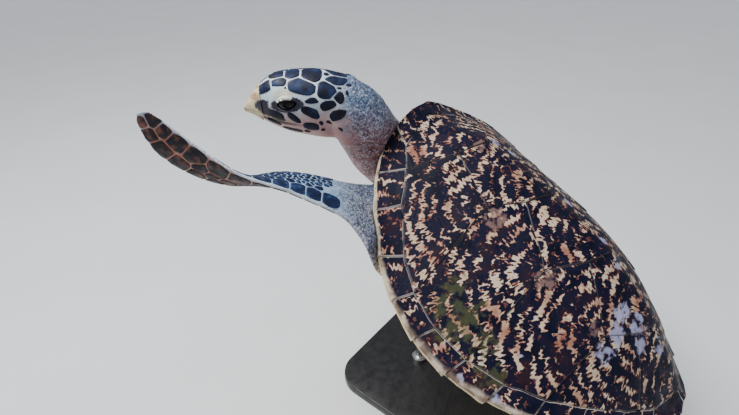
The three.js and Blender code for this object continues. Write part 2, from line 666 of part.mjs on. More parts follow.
// ---------------------------------------------------------------- display stand
// Height above the floor of the plastron's middle line, straight above a place on the base.
function plastronAbove(y) {
  const [sine, cosine] = [Math.sin(NOSE_UP), Math.cos(NOSE_UP)];
  const ahead = (y - SHELL_CENTRE.y) / SHELL_LENGTH;
  const under = (x) => bellyHeight(x, 0) - PLASTRON_THICKNESS / SHELL_LENGTH;
  let x = -ahead;
  for (let step = 0; step < 12; step += 1) x = (sine * under(x) - ahead) / cosine;
  return SHELL_CENTRE.z + (sine * x + cosine * under(x)) * SHELL_LENGTH;
}

function roundedPlate() {
  const [w, l, r] = [BASE_WIDTH / 2, BASE_LENGTH / 2, BASE_CORNER];
  const shape = new THREE.Shape();
  shape.absarc(w - r, l - r, r, 0, Math.PI / 2);
  shape.absarc(-w + r, l - r, r, Math.PI / 2, Math.PI);
  shape.absarc(-w + r, -l + r, r, Math.PI, 1.5 * Math.PI);
  shape.absarc(w - r, -l + r, r, 1.5 * Math.PI, 2 * Math.PI);
  const bevel = 3;
  const base = new THREE.ExtrudeGeometry(shape, {
    depth: BASE_HEIGHT - 2 * bevel,
    bevelThickness: bevel,
    bevelSize: bevel,
    bevelOffset: -bevel,
    bevelSegments: 1,
    curveSegments: 4,
  });
  base.translate(0, 0, bevel);
  return solid(bare(base));
}

function rodBody(y) {
  const foot = BASE_HEIGHT + GAP;
  const top = plastronAbove(y);
  const profile = [
    [0, foot], [ROD_COLLAR_RADIUS, foot], [ROD_COLLAR_RADIUS, foot + ROD_COLLAR_HEIGHT],
    [ROD_COLLAR_RADIUS - ROD_COLLAR_CHAMFER, foot + ROD_COLLAR_HEIGHT + ROD_COLLAR_CHAMFER],
    [ROD_RADIUS, foot + ROD_COLLAR_HEIGHT + ROD_COLLAR_CHAMFER + 1],
    [ROD_RADIUS, top - ROD_CUP_HEIGHT - ROD_CUP_CONE], [ROD_CUP_RADIUS, top - ROD_CUP_HEIGHT],
    [ROD_CUP_RADIUS, top + ROD_CUP_SPARE], [0, top + ROD_CUP_SPARE],
  ].map(([x, z]) => new THREE.Vector2(x, z));
  const rod = new THREE.LatheGeometry(profile, 16);
  rod.rotateX(Math.PI / 2);
  rod.translate(0, y, 0);
  return solid(bare(rod));
}

turtle.updateMatrix();
const bellyRoom = bodyRoom.transform(turtle.matrix.elements);
const display = new THREE.Group();
add(display, 'stand_base', roundedPlate(), material(COLOURS.stand, 0.5));
const rodLook = material(COLOURS.rod, 0.3, 1);
add(display, 'stand_rod_front', biggest(rodBody(FRONT_ROD_Y).subtract(bellyRoom)), rodLook);
add(display, 'stand_rod_rear', biggest(rodBody(REAR_ROD_Y).subtract(bellyRoom)), rodLook);
display.add(turtle);

export default display;
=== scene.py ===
# %% [markdown]
# # A hawksbill sea turtle on a display stand
# The solid model gives every piece its place and size. This lesson dresses it: horn plates that
# overlap like roof tiles, one skin without seams over head, neck and flippers, hundreds of small
# scales, a horny beak, wet eyes, and a plain studio round it.
# The frame is loaded first, because every later step measures itself against it.

import math
import random

import bmesh
import bpy
from mathutils import Matrix, Vector, noise
from mathutils.bvhtree import BVHTree
from mathutils.kdtree import KDTree


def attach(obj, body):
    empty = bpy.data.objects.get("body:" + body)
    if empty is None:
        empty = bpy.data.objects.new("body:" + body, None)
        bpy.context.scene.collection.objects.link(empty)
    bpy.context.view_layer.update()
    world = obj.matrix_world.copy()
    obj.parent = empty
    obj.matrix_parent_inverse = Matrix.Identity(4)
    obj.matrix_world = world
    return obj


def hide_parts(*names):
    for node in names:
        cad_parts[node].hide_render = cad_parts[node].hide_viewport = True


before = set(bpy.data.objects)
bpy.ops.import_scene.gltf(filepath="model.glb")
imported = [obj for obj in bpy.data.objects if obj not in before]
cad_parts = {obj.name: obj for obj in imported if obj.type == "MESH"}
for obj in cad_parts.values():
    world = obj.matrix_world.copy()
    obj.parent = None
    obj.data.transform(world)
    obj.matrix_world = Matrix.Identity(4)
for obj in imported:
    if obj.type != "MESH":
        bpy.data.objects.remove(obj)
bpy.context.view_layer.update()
bpy.ops.object.select_all(action="DESELECT")

# %% [markdown]
# The turtle swims nose up, so everything on it is worked out in the body's own axes: x forward,
# y to its left, z up from the middle of the shell, all counted in shell lengths. One function
# turns such a place into metres in the room. The camera is made now, because it is always needed.

# %% The body's own axes
SHELL_LENGTH = 0.640
NOSE_UP = math.radians(32)
SHELL_CENTRE = Vector((0, 0.070, 0.415))
COS_UP, SIN_UP = math.cos(NOSE_UP), math.sin(NOSE_UP)
BODY_AXES = Matrix(((0, 1, 0), (-COS_UP, 0, SIN_UP), (SIN_UP, 0, COS_UP)))


def in_room(x, y, z):
    """A place in shell lengths, as metres in the room."""
    return SHELL_CENTRE + SHELL_LENGTH * (BODY_AXES @ Vector((x, y, z)))


def in_body(place):
    """A place in the room, in the body's axes and shell lengths."""
    return BODY_AXES.transposed() @ (place - SHELL_CENTRE) / SHELL_LENGTH


def smooth(knots, at):
    """A smooth curve through (position, value) pairs, read at one position."""
    at = min(max(at, knots[0][0]), knots[-1][0])
    i = 0
    while i < len(knots) - 2 and at > knots[i + 1][0]:
        i += 1

    def slope(k):
        before, after = knots[max(k - 1, 0)], knots[min(k + 1, len(knots) - 1)]
        return (after[1] - before[1]) / (after[0] - before[0])

    (x0, y0), (x1, y1) = knots[i], knots[i + 1]
    h = x1 - x0
    t = (at - x0) / h
    straight = y0 * (1 + 2 * t) * (1 - t) ** 2 + y1 * t * t * (3 - 2 * t)
    return straight + h * t * (1 - t) * (slope(i) * (1 - t) - slope(i + 1) * t)


def fade(value, low, high):
    """0 below low, 1 above high, and a soft step between."""
    t = min(max((value - low) / (high - low), 0), 1)
    return t * t * (3 - 2 * t)


def squared(value, power):
    """A sine or cosine bent so that its circle comes out as a rounded square."""
    return math.copysign(abs(value) ** power, value)


# %% The camera
SENSOR_WIDTH, LENS = 36, 22.39  # mm
CAMERA_PLACE = Vector((0.6476, 0.2425, 0.9116))
CAMERA_RIGHT = Vector((-0.62107, 0.78369, -0.00978))
CAMERA_VIEW = Vector((-0.65989, -0.52960, -0.53298))
camera = bpy.data.objects.new("camera", bpy.data.cameras.new("camera"))
bpy.context.collection.objects.link(camera)
camera.data.sensor_width, camera.data.lens = SENSOR_WIDTH, LENS
camera_up = CAMERA_RIGHT.cross(CAMERA_VIEW).normalized()
camera_axes = Matrix((CAMERA_RIGHT, camera_up, -CAMERA_VIEW)).transposed()
camera.matrix_world = Matrix.Translation(CAMERA_PLACE) @ camera_axes.to_4x4()
bpy.context.scene.camera = camera
print("camera at", CAMERA_PLACE, "lens", camera.data.lens)

# %% [markdown]
# ## The shape of the shell
# A turtle's shell is a low dome on an egg-shaped plan. A few sine waves give the outline, and two
# curves give the heights of the keel and of the rim. The same functions shaped the solid model,
# so every plate made from them lies where its solid lies.

# %% Outline and dome
OUTLINE_WAVES = (0.397, 0.038, -0.027, 0.009)
KEEL_HEIGHT = (
    (-0.5, 0.03), (-0.46, 0.044), (-0.31, 0.125), (-0.11, 0.182),
    (0.1, 0.181), (0.31, 0.157), (0.43, 0.105), (0.5, 0.104),
)
RIM_HEIGHT = (
    (-0.5, 0.03), (-0.3, 0.011), (0, -0.027), (0.2, -0.016),
    (0.36, 0.034), (0.44, 0.056), (0.48, 0.08), (0.5, 0.108),
)
BELLY_HEIGHT = (
    (-0.46, -0.02), (-0.4, -0.05), (-0.25, -0.092), (0, -0.122),
    (0.2, -0.122), (0.34, -0.094), (0.42, -0.055), (0.46, -0.02),
)
PLATE_THICKNESS = 0.007 / SHELL_LENGTH
RIM_THICKNESS = 0.009 / SHELL_LENGTH
PLASTRON_REACH = (
    (-0.4, 0.25), (-0.34, 0.5), (-0.26, 0.62), (-0.17, 0.88), (0, 0.96),
    (0.14, 0.92), (0.24, 0.72), (0.32, 0.6), (0.385, 0.36),
)
FLESH_REACH = 0.915
BLUNT_END = 0.4988  # the shell is cut off here in front and behind
DOME_SHOULDER, DOME_SKIRT = 1.47, 1.19  # powers for a full crown and a spreading skirt
FLESH_GAP = 0.0003 / SHELL_LENGTH
BELLY_DROP = 0.006 / SHELL_LENGTH  # from the flesh's upper edge down to the lower shell's


def half_width(x):
    u = math.acos(min(max(2 * x, -1), 1))
    return sum(wave * math.sin((k + 1) * u) for k, wave in enumerate(OUTLINE_WAVES))


def dome_height(x, v):
    """Height of the shell at x, and at a share v of its half width there."""
    rim = smooth(RIM_HEIGHT, x)
    rise = smooth(KEEL_HEIGHT, x) - rim
    return rim + rise * (1 - min(abs(v), 1) ** DOME_SHOULDER) ** DOME_SKIRT


def plate_thickness(v):
    return PLATE_THICKNESS + (RIM_THICKNESS - PLATE_THICKNESS) * fade(abs(v), 0.8, 1)


def share_across(x, y):
    return y / max(half_width(x), 0.02)


def flesh_top(x, v):
    return dome_height(x, v) - plate_thickness(v) - FLESH_GAP


def belly_height(x, v):
    edge = flesh_top(x, FLESH_REACH) - BELLY_DROP
    keel = smooth(BELLY_HEIGHT, x)
    return keel + (edge - keel) * (min(abs(v), FLESH_REACH) / FLESH_REACH) ** 3


print("shell", round(2 * half_width(0) * SHELL_LENGTH, 3), "m wide in the middle")

# %% [markdown]
# ## Where the plates meet
# A hawksbill has one row of five plates along the keel, four on each side of it, and a ring of
# small ones round the rim, saw-toothed behind. Their corners are given in plan: x along the shell
# and a share of the half width across.

# %% Corners of the plates
INNER_MARGIN = (
    (0.425, 0.57), (0.375, 0.66), (0.315, 0.78), (0.225, 0.86), (0.15, 0.89), (0.065, 0.9),
    (-0.025, 0.9), (-0.115, 0.895), (-0.2, 0.88), (-0.28, 0.85), (-0.355, 0.8), (-0.415, 0.68),
)
RIM_X = (0.486, 0.415, 0.345, 0.26, 0.17, 0.08, -0.015, -0.11, -0.205, -0.295, -0.375, -0.44)
KEEL_TIPS = (0.468, 0.3, 0.1, -0.09, -0.285, -0.452)
WAISTS = ((0.32, 0.23), (0.125, 0.15), (-0.068, 0.15), (-0.262, 0.2))
APEXES = ((0.18, 0.34), (-0.01, 0.36), (-0.2, 0.4))
LAST_COSTAL = (-0.383, 0.745)
NOTCH = (0, 0, 0.02, 0.05, 0.08, 0.1, 0.14, 0.2, 0.27, 0.33, 0.36, 0.36)
RIM_FLARE = 1.04


def in_plan(corner):
    x, v = corner
    return Vector((x, v * half_width(x)))


def mirrored(points):
    return [Vector((p.x, -p.y)) for p in reversed(points)]


def rim_point(x, k):
    """A place on the rim. Towards the rear the saw teeth reach further out."""
    return in_plan((x, 1 + (RIM_FLARE - 1) * NOTCH[k] / NOTCH[-1]))


def marginal(k):
    """Outline of a plate on the rim, from its notched front corner to its full rear corner."""
    inner = [in_plan(INNER_MARGIN[k]), in_plan(INNER_MARGIN[k + 1])]
    rim = [inner[0].lerp(rim_point(RIM_X[k], k), 1 - NOTCH[k])]
    for t in (1 / 3, 2 / 3):
        outer = rim_point(RIM_X[k] + (RIM_X[k + 1] - RIM_X[k]) * t, k)
        rim.append(outer.lerp(inner[0].lerp(inner[1], t), NOTCH[k] * (1 - t)))
    return [inner[0], *rim, rim_point(RIM_X[k + 1], k + 1), inner[1]]


def keel_plate(k):
    """Outline of a plate on the keel, both sides."""
    tip, next_tip = (KEEL_TIPS[k], 0), (KEEL_TIPS[k + 1], 0)
    if k == 0:
        side = (INNER_MARGIN[0], INNER_MARGIN[1], WAISTS[0])
    elif k == 4:
        side = (WAISTS[3], LAST_COSTAL, INNER_MARGIN[11])
    else:
        side = (WAISTS[k - 1], APEXES[k - 1], WAISTS[k])
    left = [in_plan(corner) for corner in (tip, *side, next_tip)]
    return left + mirrored(left[1:-1])


COSTALS = [
    [WAISTS[0], *INNER_MARGIN[1:5], APEXES[0]],
    [APEXES[0], *INNER_MARGIN[4:7], APEXES[1], WAISTS[1]],
    [APEXES[1], *INNER_MARGIN[6:9], APEXES[2], WAISTS[2]],
    [APEXES[2], *INNER_MARGIN[8:11], LAST_COSTAL, WAISTS[3]],
]
inner, rim_front = in_plan(INNER_MARGIN[11]), rim_point(RIM_X[11], 11)
SUPRACAUDAL = [inner, inner.lerp(rim_front, 1 - NOTCH[11])]
SUPRACAUDAL += [in_plan(c) for c in ((-0.465, 0.98), (-0.483, RIM_FLARE), (-0.4925, 0.8))]
SUPRACAUDAL += [in_plan((-0.486, 0)), in_plan((KEEL_TIPS[5], 0))]
nuchal_left = [Vector((BLUNT_END, 0)), in_plan((BLUNT_END, 1)), in_plan((0.495, 1))]
nuchal_left += [rim_point(RIM_X[0], 0), in_plan(INNER_MARGIN[0]), in_plan((KEEL_TIPS[0], 0))]
NUCHAL = nuchal_left + mirrored(nuchal_left[1:-1])
print(len(COSTALS), "side plates and", len(RIM_X) - 1, "rim plates on each side")

# %% [markdown]
# ## One plate, by hand
# A plate is a thin tile of horn. A circle is laid on the plate's outline and extruded up into a
# tile. Its top is inset twice to turn the edge over, then extruded inward in rings, so that the
# mesh runs round the plate as its growth does. Last, the flat tile is laid on the dome, and its
# rear edge is lifted, because each plate overlaps the next.

# %% Helpers for outlines
SEAM = 0.00015 / SHELL_LENGTH  # half the gap between two plates
RING_SHARES = (0.93, 0.85, 0.76, 0.66, 0.55, 0.43, 0.3, 0.16)
DRIFTS, FINE_DRIFTS = 26, 80  # wavering of the seams, by shell length
DRIFT_SEED = 1795380097  # noise vectors are seeded by the clock unless they get a seed
WALL = 0.8  # share of the tile's thickness that stands upright
TURNED_EDGE = ((0.0006 / SHELL_LENGTH, 0.15), (0.0013 / SHELL_LENGTH, 0.05))  # inset and rise
noise.seed_set(DRIFT_SEED)


def drawn_in(points, distance):
    """A closed outline moved inward by a distance on every side."""
    turning = sum(a.x * b.y - a.y * b.x for a, b in zip(points, points[1:] + points[:1]))
    loop = points if turning > 0 else points[::-1]
    moved = []
    for i, corner in enumerate(loop):
        before, after = loop[i - 1], loop[(i + 1) % len(loop)]
        n1 = Vector((before.y - corner.y, corner.x - before.x)).normalized()
        n2 = Vector((corner.y - after.y, after.x - corner.x)).normalized()
        moved.append(corner + (n1 + n2) * (distance / max(0.4, 1 + n1.dot(n2))))
    return moved


def spaced(points, count):
    """The same outline with its corners kept and points spread evenly between them."""
    sides = list(zip(points, points[1:] + points[:1]))
    whole = sum((b - a).length for a, b in sides)
    out = []
    for a, b in sides:
        cuts = max(1, round(count * (b - a).length / whole))
        out += [a.lerp(b, i / cuts) for i in range(cuts)]
    return out


def wavering(point, size):
    """Horn never grows quite straight: a small drift, the same for both plates at a seam."""
    shift = noise.noise_vector(Vector((point.x * DRIFTS, point.y * DRIFTS, 0.5)))
    fine = noise.noise_vector(Vector((point.x * FINE_DRIFTS, point.y * FINE_DRIFTS, 4.5)))
    return point + (Vector(shift[:2]) + 0.45 * Vector(fine[:2])) * size


def use_only(obj):
    bpy.ops.object.select_all(action="DESELECT")
    obj.select_set(True)
    bpy.context.view_layer.objects.active = obj


def edit(obj, mode="VERT"):
    use_only(obj)
    bpy.ops.object.mode_set(mode="EDIT")
    bpy.ops.mesh.select_mode(type=mode)
    bpy.ops.mesh.select_all(action="SELECT")


def done():
    bpy.ops.object.mode_set(mode="OBJECT")


def shade_by_angle(obj, degrees):
    use_only(obj)
    bpy.ops.object.shade_smooth_by_angle(angle=math.radians(degrees))


def joined(pieces, name):
    """One object out of several."""
    use_only(pieces[0])
    for piece in pieces:
        piece.select_set(True)
    bpy.ops.object.join()
    whole = bpy.context.object
    whole.name = whole.data.name = name
    return whole


def built(name, mesh):
    """A new object from a mesh that was put together face by face."""
    data = bpy.data.meshes.new(name)
    mesh.to_mesh(data)
    mesh.free()
    piece = bpy.data.objects.new(name, data)
    bpy.context.collection.objects.link(piece)
    return piece


def write_on(obj, name, values):
    """Writes a number or a colour on every vertex, for the materials to read."""
    kind, field = ("FLOAT_COLOR", "color") if isinstance(values[0], tuple) else ("FLOAT", "value")
    layer = obj.data.attributes.new(name, kind, "POINT")
    for spot, value in zip(layer.data, values):
        setattr(spot, field, value)


def apply_modifier(obj, kind, **values):
    use_only(obj)
    modifier = obj.modifiers.new(kind, kind)
    for key, value in values.items():
        setattr(modifier, key, value)
    bpy.ops.object.modifier_apply(modifier=modifier.name)


# %% The flat tile
def flat_tile(name, outline, waver=0.0016, count=84):
    """A closed flat tile, with its underside at z 0 and its top at z 1."""
    points = [wavering(p, waver) for p in spaced(drawn_in(outline, SEAM), count)]
    centre = sum(points, Vector((0, 0))) / len(points)
    bpy.ops.mesh.primitive_circle_add(vertices=len(points), fill_type="NGON")
    tile = bpy.context.object
    tile.name = tile.data.name = name
    for vertex, point in zip(tile.data.vertices, points):
        vertex.co = (point.x, point.y, 0)
    edit(tile, "FACE")
    bpy.ops.mesh.extrude_region_move(TRANSFORM_OT_translate={"value": (0, 0, WALL)})
    for inset, rise in TURNED_EDGE:
        bpy.ops.mesh.inset(thickness=inset)
        bpy.ops.transform.translate(value=(0, 0, rise))
    for last, share in zip((1, *RING_SHARES), RING_SHARES):
        bpy.ops.mesh.extrude_region_move()
        scale = share / last
        bpy.ops.transform.resize(value=(scale, scale, 1), center_override=(*centre, 0))
    bpy.ops.mesh.poke()
    done()
    return tile


# %% Laying a tile on the dome
LIFT = 0.0034 / SHELL_LENGTH  # how far a rear edge stands above the next plate
SWELLS = 18  # gentle swellings of the horn, by shell length
GROWTH_UNITS = 10  # units of the growth map in a shell length


def add_growth_map(tile, places, areola):
    """A UV map that counts from the plate's growth centre."""
    layer = tile.data.uv_layers.new(name="Growth")
    for loop in tile.data.loops:
        away = places[loop.vertex_index] - areola
        layer.data[loop.index].uv = away * GROWTH_UNITS


def lay_on_dome(tile, areola, lift=LIFT, surface=dome_height, thickness=plate_thickness):
    """Bends the flat tile to the shell and lifts its rear edge.

    The attribute "edge" is 0 on the face, 1 on the turned edge and 2 underneath, and "rim" is the
    share of the half width.
    """
    places = [Vector(v.co[:2]) for v in tile.data.vertices]
    front, rear = max(p.x for p in places), min(p.x for p in places)
    write_on(tile, "rim", [abs(share_across(*p)) for p in places])
    write_on(tile, "edge", [0 if v.co.z > 0.99 else 1 + (v.co.z < 0.1) for v in tile.data.vertices])
    for vertex, (x, y) in zip(tile.data.vertices, places):
        v = share_across(x, y)
        back = (front - x) / (front - rear)
        raised = lift * (back**2.2 - 0.25)
        swell = 0.3 * lift * noise.noise(Vector((x * SWELLS, y * SWELLS, 2)))
        height = surface(x, v) + (raised + swell) * min(vertex.co.z, 1)
        height -= thickness(v) * (1 - vertex.co.z)
        vertex.co = in_room(x, y, height)
    add_growth_map(tile, places, areola)
    shade_by_angle(tile, 50)


# %% All the plates of the upper shell
scutes, rim_plates = [], []


def make_plate(node, outline, areola, group, **how):
    tile = flat_tile("plate_" + node, outline)
    lay_on_dome(tile, areola, **how)
    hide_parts(node)
    group.append(tile)


for k in range(5):
    make_plate(f"vertebral_{k + 1}", keel_plate(k), Vector((KEEL_TIPS[k + 1] + 0.012, 0)), scutes)
for side, turned in (("left", lambda p: p), ("right", mirrored)):
    for k, corners in enumerate(COSTALS):
        outline = turned([in_plan(c) for c in corners])
        hind = in_plan(APEXES[k] if k < 3 else WAISTS[3])
        areola = hind if side == "left" else Vector((hind.x, -hind.y))
        make_plate(f"costal_{side}_{k + 1}", outline, areola, scutes)
    for k in range(11):
        outline = marginal(k)
        hind = outline[-2].lerp(outline[-1], 0.25)
        areola = hind if side == "left" else Vector((hind.x, -hind.y))
        title = f"marginal_{side}_{k + 1}"
        make_plate(title, turned(outline), areola, rim_plates, lift=0.6 * LIFT)
    outline = turned(SUPRACAUDAL)
    areola = sum(outline, Vector((0, 0))) / len(outline)
    make_plate(f"supracaudal_{side}", outline, areola, rim_plates, lift=0.4 * LIFT)
make_plate("nuchal", NUCHAL, Vector((0.47, 0)), rim_plates, lift=0.5 * LIFT)
bpy.context.view_layer.update()
print(len(scutes) + len(rim_plates), "plates, widest rings of", len(RING_SHARES) + 3)

# %% [markdown]
# ## The flesh under the skin
# Neck, tail and flippers are round or flat bodies along a bent path. Each starts as a plain grid
# that is wrapped round its path and closed at its ends. The head is the same, on sections that
# give its half width, its top and its underside from the crown to the beak. They are only the
# clay: joined and remeshed below, they become one skin.

# %% A path through a few points
def bent_path(points):
    """The centripetal curve through points, read by share of its length: place and heading."""
    ends = [2 * points[0] - points[1], *points, 2 * points[-1] - points[-2]]
    fine = []
    for a, b, c, d in zip(ends, ends[1:], ends[2:], ends[3:]):
        ta, tb, tc = ((q - p).length ** 0.5 for p, q in ((a, b), (b, c), (c, d)))
        m1 = ((b - a) / ta - (c - a) / (ta + tb) + (c - b) / tb) * tb
        m2 = ((c - b) / tb - (d - b) / (tb + tc) + (d - c) / tc) * tb
        for i in range(60):
            t = i / 60
            h1, h2 = 2 * t**3 - 3 * t**2 + 1, t**3 - 2 * t**2 + t
            fine.append(b * h1 + m1 * h2 + c * (3 * t**2 - 2 * t**3) + m2 * (t**3 - t**2))
    fine.append(points[-1])
    lengths = [0]
    for a, b in zip(fine, fine[1:]):
        lengths.append(lengths[-1] + (b - a).length)

    def at(share):
        goal = min(max(share, 0), 1) * lengths[-1]
        i = 0
        while i < len(fine) - 2 and lengths[i + 1] < goal:
            i += 1
        step = lengths[i + 1] - lengths[i]
        place = fine[i].lerp(fine[i + 1], (goal - lengths[i]) / step)
        low, high = max(i - 2, 0), min(i + 3, len(fine) - 1)
        return place, (fine[high] - fine[low]).normalized()

    return at


def wrapped(name, rings, around, place):
    """A grid wrapped into a closed tube: place(share along, turn round) gives each point."""
    bpy.ops.mesh.primitive_grid_add(x_subdivisions=around, y_subdivisions=rings, size=1)
    body = bpy.context.object
    body.name = name
    for vertex in body.data.vertices:
        share, turn = vertex.co.y + 0.5, (vertex.co.x + 0.5) * 2 * math.pi
        vertex.co = place(share, turn)
    edit(body)
    bpy.ops.mesh.remove_doubles(threshold=0.00001)
    bpy.ops.mesh.fill_holes(sides=0)
    bpy.ops.mesh.normals_make_consistent(inside=False)
    done()
    return body


# %% Neck and tail
NECK_PATH = (
    (0.33, 0, 0), (0.41, 0.05, -0.03), (0.478, 0.105, -0.008),
    (0.516, 0.15, 0.037), (0.556, 0.19, 0.084), (0.61, 0.228, 0.1),
)
NECK_RADIUS = ((0, 0.08), (0.25, 0.095), (0.45, 0.09), (0.65, 0.08), (0.84, 0.076), (1, 0.07))
TAIL_PATH = ((-0.4, 0, -0.03), (-0.47, 0, -0.035), (-0.53, 0, -0.05), (-0.57, 0, -0.068))
TAIL_RADIUS = ((0, 0.05), (0.4, 0.036), (0.8, 0.018), (1, 0.005))
SKIN_DEPTH = 0.0012 / SHELL_LENGTH  # the scales lie this deep over the skin
THINNED_TRAILING = 0.3  # share of the thickness lost towards a flipper's trailing edge


def round_body(name, path, radius, rings, around, flatten=1):
    curve = bent_path([Vector(p) for p in path])

    def place(share, turn):
        centre, along = curve(share)
        across = Vector((-along.y, along.x, 0)).normalized()
        up = along.cross(across)
        size = smooth(radius, share) - SKIN_DEPTH
        sideways = across * size * math.cos(turn)
        return in_room(*(centre + sideways + up * size * flatten * math.sin(turn)))

    return wrapped(name, rings, around, place)


flesh = [round_body("neck_clay", NECK_PATH, NECK_RADIUS, 60, 64)]
flesh.append(round_body("tail_clay", TAIL_PATH, TAIL_RADIUS, 40, 32, 0.85))

# %% The four flippers
FRONT_CHORD = (
    (0, 0.3), (0.14, 0.3), (0.23, 0.215), (0.31, 0.158), (0.5, 0.132), (0.68, 0.115),
    (0.8, 0.1), (0.89, 0.082), (0.95, 0.058), (0.985, 0.034), (1, 0.012),
)
FRONT_THICKNESS = (
    (0, 0.1), (0.15, 0.075), (0.3, 0.048), (0.5, 0.033), (0.7, 0.026), (0.88, 0.018), (1, 0.008),
)
HIND_CHORD = (
    (0, 0.13), (0.25, 0.12), (0.5, 0.125), (0.75, 0.15), (0.9, 0.125), (0.97, 0.075), (1, 0.02),
)
HIND_THICKNESS = ((0, 0.08), (0.3, 0.05), (0.6, 0.028), (1, 0.01))
FLIPPERS = {  # side, path, and the blade's roll in degrees along it
    "front_flipper_left": (
        1,
        (
            (0.25, 0.21, -0.04), (0.33, 0.28, -0.02), (0.412, 0.338, 0.005), (0.514, 0.428, 0.01),
            (0.588, 0.527, 0.003), (0.684, 0.6, 0.038), (0.754, 0.634, 0.088),
        ),
        ((0, 4), (0.15, 12), (0.3, 20), (0.5, 33), (0.66, 62), (0.8, 86), (0.9, 101), (1, 108)),
    ),
    "front_flipper_right": (
        -1,
        (
            (0.27, -0.2, -0.04), (0.325, -0.285, -0.055), (0.325, -0.365, -0.085),
            (0.262, -0.465, -0.15), (0.155, -0.54, -0.21), (0.045, -0.595, -0.262),
            (-0.05, -0.63, -0.3),
        ),
        ((0, -4), (0.15, -2), (0.3, 4), (0.6, 18), (1, 26)),
    ),
    "hind_flipper_left": (
        1,
        (
            (-0.27, 0.15, -0.055), (-0.38, 0.24, -0.062), (-0.48, 0.295, -0.09),
            (-0.6, 0.325, -0.14),
        ),
        ((0, 0), (1, -12)),
    ),
    "hind_flipper_right": (
        -1,
        (
            (-0.27, -0.15, -0.06), (-0.37, -0.225, -0.09), (-0.46, -0.26, -0.145),
            (-0.55, -0.265, -0.225),
        ),
        ((0, 0), (1, 10)),
    ),
}
for name, (side, path, roll) in FLIPPERS.items():
    front = name.startswith("front")
    FLIPPERS[name] = {
        "side": side, "roll": roll, "curve": bent_path([Vector(p) for p in path]),
        "chord": FRONT_CHORD if front else HIND_CHORD,
        "thickness": FRONT_THICKNESS if front else HIND_THICKNESS,
    }


def limb_frame(limb, share):
    """Centre, heading, direction of the trailing edge and of the upper face, in body axes."""
    centre, along = limb["curve"](share)
    flat = (Vector((-along.y, along.x, 0)) * limb["side"]).normalized()
    raised = along.cross(flat) * limb["side"]
    angle = math.radians(smooth(limb["roll"], share))
    trailing = flat * math.cos(angle) + raised * math.sin(angle)
    return centre, along, trailing, along.cross(trailing) * limb["side"]


def on_limb(limb, share, across, raised):
    """A place on a flipper: across from -1 at the leading to 1 at the trailing edge."""
    centre, _, trailing, upper = limb_frame(limb, share)
    chord = smooth(limb["chord"], share) / 2 - SKIN_DEPTH
    thickness = smooth(limb["thickness"], share) / 2 - SKIN_DEPTH
    taper = 1 - THINNED_TRAILING * (across + 1) / 2
    return centre + trailing * chord * across + upper * thickness * raised * taper


def flipper(name, limb):
    points = [limb["curve"](i / 40)[0] for i in range(41)]
    limb["length"] = sum((b - a).length for a, b in zip(points, points[1:]))

    def place(share, turn):
        even = math.sin(math.pi / 2 * share)
        return in_room(*on_limb(limb, even, math.cos(turn), math.sin(turn)))

    return wrapped(name + "_clay", 90, 56, place)


for name, limb in FLIPPERS.items():
    flesh.append(flipper(name, limb))
print(len(flesh), "bodies of clay so far")

# %% [markdown]
# The head is level with the floor while the body is pitched up, and turned to the turtle's left,
# so it has axes of its own: forward along the beak, left and up, in metres from the back of the
# crown.

# %% The head
HEAD_LENGTH = 0.156
HEAD_TURN, HEAD_DIP, HEAD_ROLL = math.radians(41), math.radians(3), math.radians(12)
HEAD_SEAT = in_room(0.592, 0.211, 0.114)
HEAD_SECTIONS = (  # share of the length, half width, top, underside
    (-0.1, 0.033, 0.033, -0.058), (0.04, 0.038, 0.038, -0.062), (0.14, 0.041, 0.043, -0.062),
    (0.26, 0.043, 0.0475, -0.0585), (0.4, 0.0425, 0.0495, -0.0515), (0.54, 0.039, 0.05, -0.0445),
    (0.66, 0.0325, 0.0485, -0.0365), (0.76, 0.025, 0.04, -0.0285), (0.85, 0.018, 0.03, -0.0205),
    (0.92, 0.0115, 0.016, -0.0125), (0.975, 0.006, 0.007, -0.009), (1, 0.003, 0.0015, -0.008),
)
HEAD_SQUARENESS = 0.86
head_forward = Vector((
    math.sin(HEAD_TURN) * math.cos(HEAD_DIP),
    -math.cos(HEAD_TURN) * math.cos(HEAD_DIP),
    -math.sin(HEAD_DIP),
))
level_left = Vector((0, 0, 1)).cross(head_forward).normalized()
rolled = Matrix.Rotation(-HEAD_ROLL, 3, head_forward)
head_left, head_up = rolled @ level_left, rolled @ head_forward.cross(level_left)
head_axes = Matrix((head_forward, head_left, head_up))


def on_head(forward, left, up):
    """Metres in head axes, as a place in the room."""
    return HEAD_SEAT + head_axes.transposed() @ Vector((forward, left, up))


def in_head(point):
    """A place in the room, in head axes."""
    return head_axes @ (point - HEAD_SEAT)


def head_sizes(share):
    """Half width, top and underside of the head at a share of its length."""
    return (smooth([(s[0], s[k]) for s in HEAD_SECTIONS], share) for k in (1, 2, 3))


def head_section(share, turn, depth=0):
    """A place on the head's surface, sunk by a depth."""
    wide, top, under = head_sizes(share)
    height = top if math.sin(turn) > 0 else -under
    y = (wide - depth) * squared(math.cos(turn), HEAD_SQUARENESS)
    z = (height - depth) * squared(math.sin(turn), HEAD_SQUARENESS)
    return Vector((share * HEAD_LENGTH, y, z))


BEAK_LINE = HEAD_LENGTH - 0.031
UNDER_BEAK = 0.002  # how far the skin runs on under the beak
FIRST_SHARE = HEAD_SECTIONS[0][0]
SCALES_OVER = 0.0008  # the scales of the head lie this deep over the skin


def skull_place(share, turn):
    along = FIRST_SHARE + share * ((BEAK_LINE + UNDER_BEAK) / HEAD_LENGTH - FIRST_SHARE)
    return on_head(*head_section(along, turn, SCALES_OVER))


flesh.append(wrapped("head_clay", 120, 96, skull_place))
print("head", HEAD_LENGTH, "m long, beak from", round(BEAK_LINE, 3))

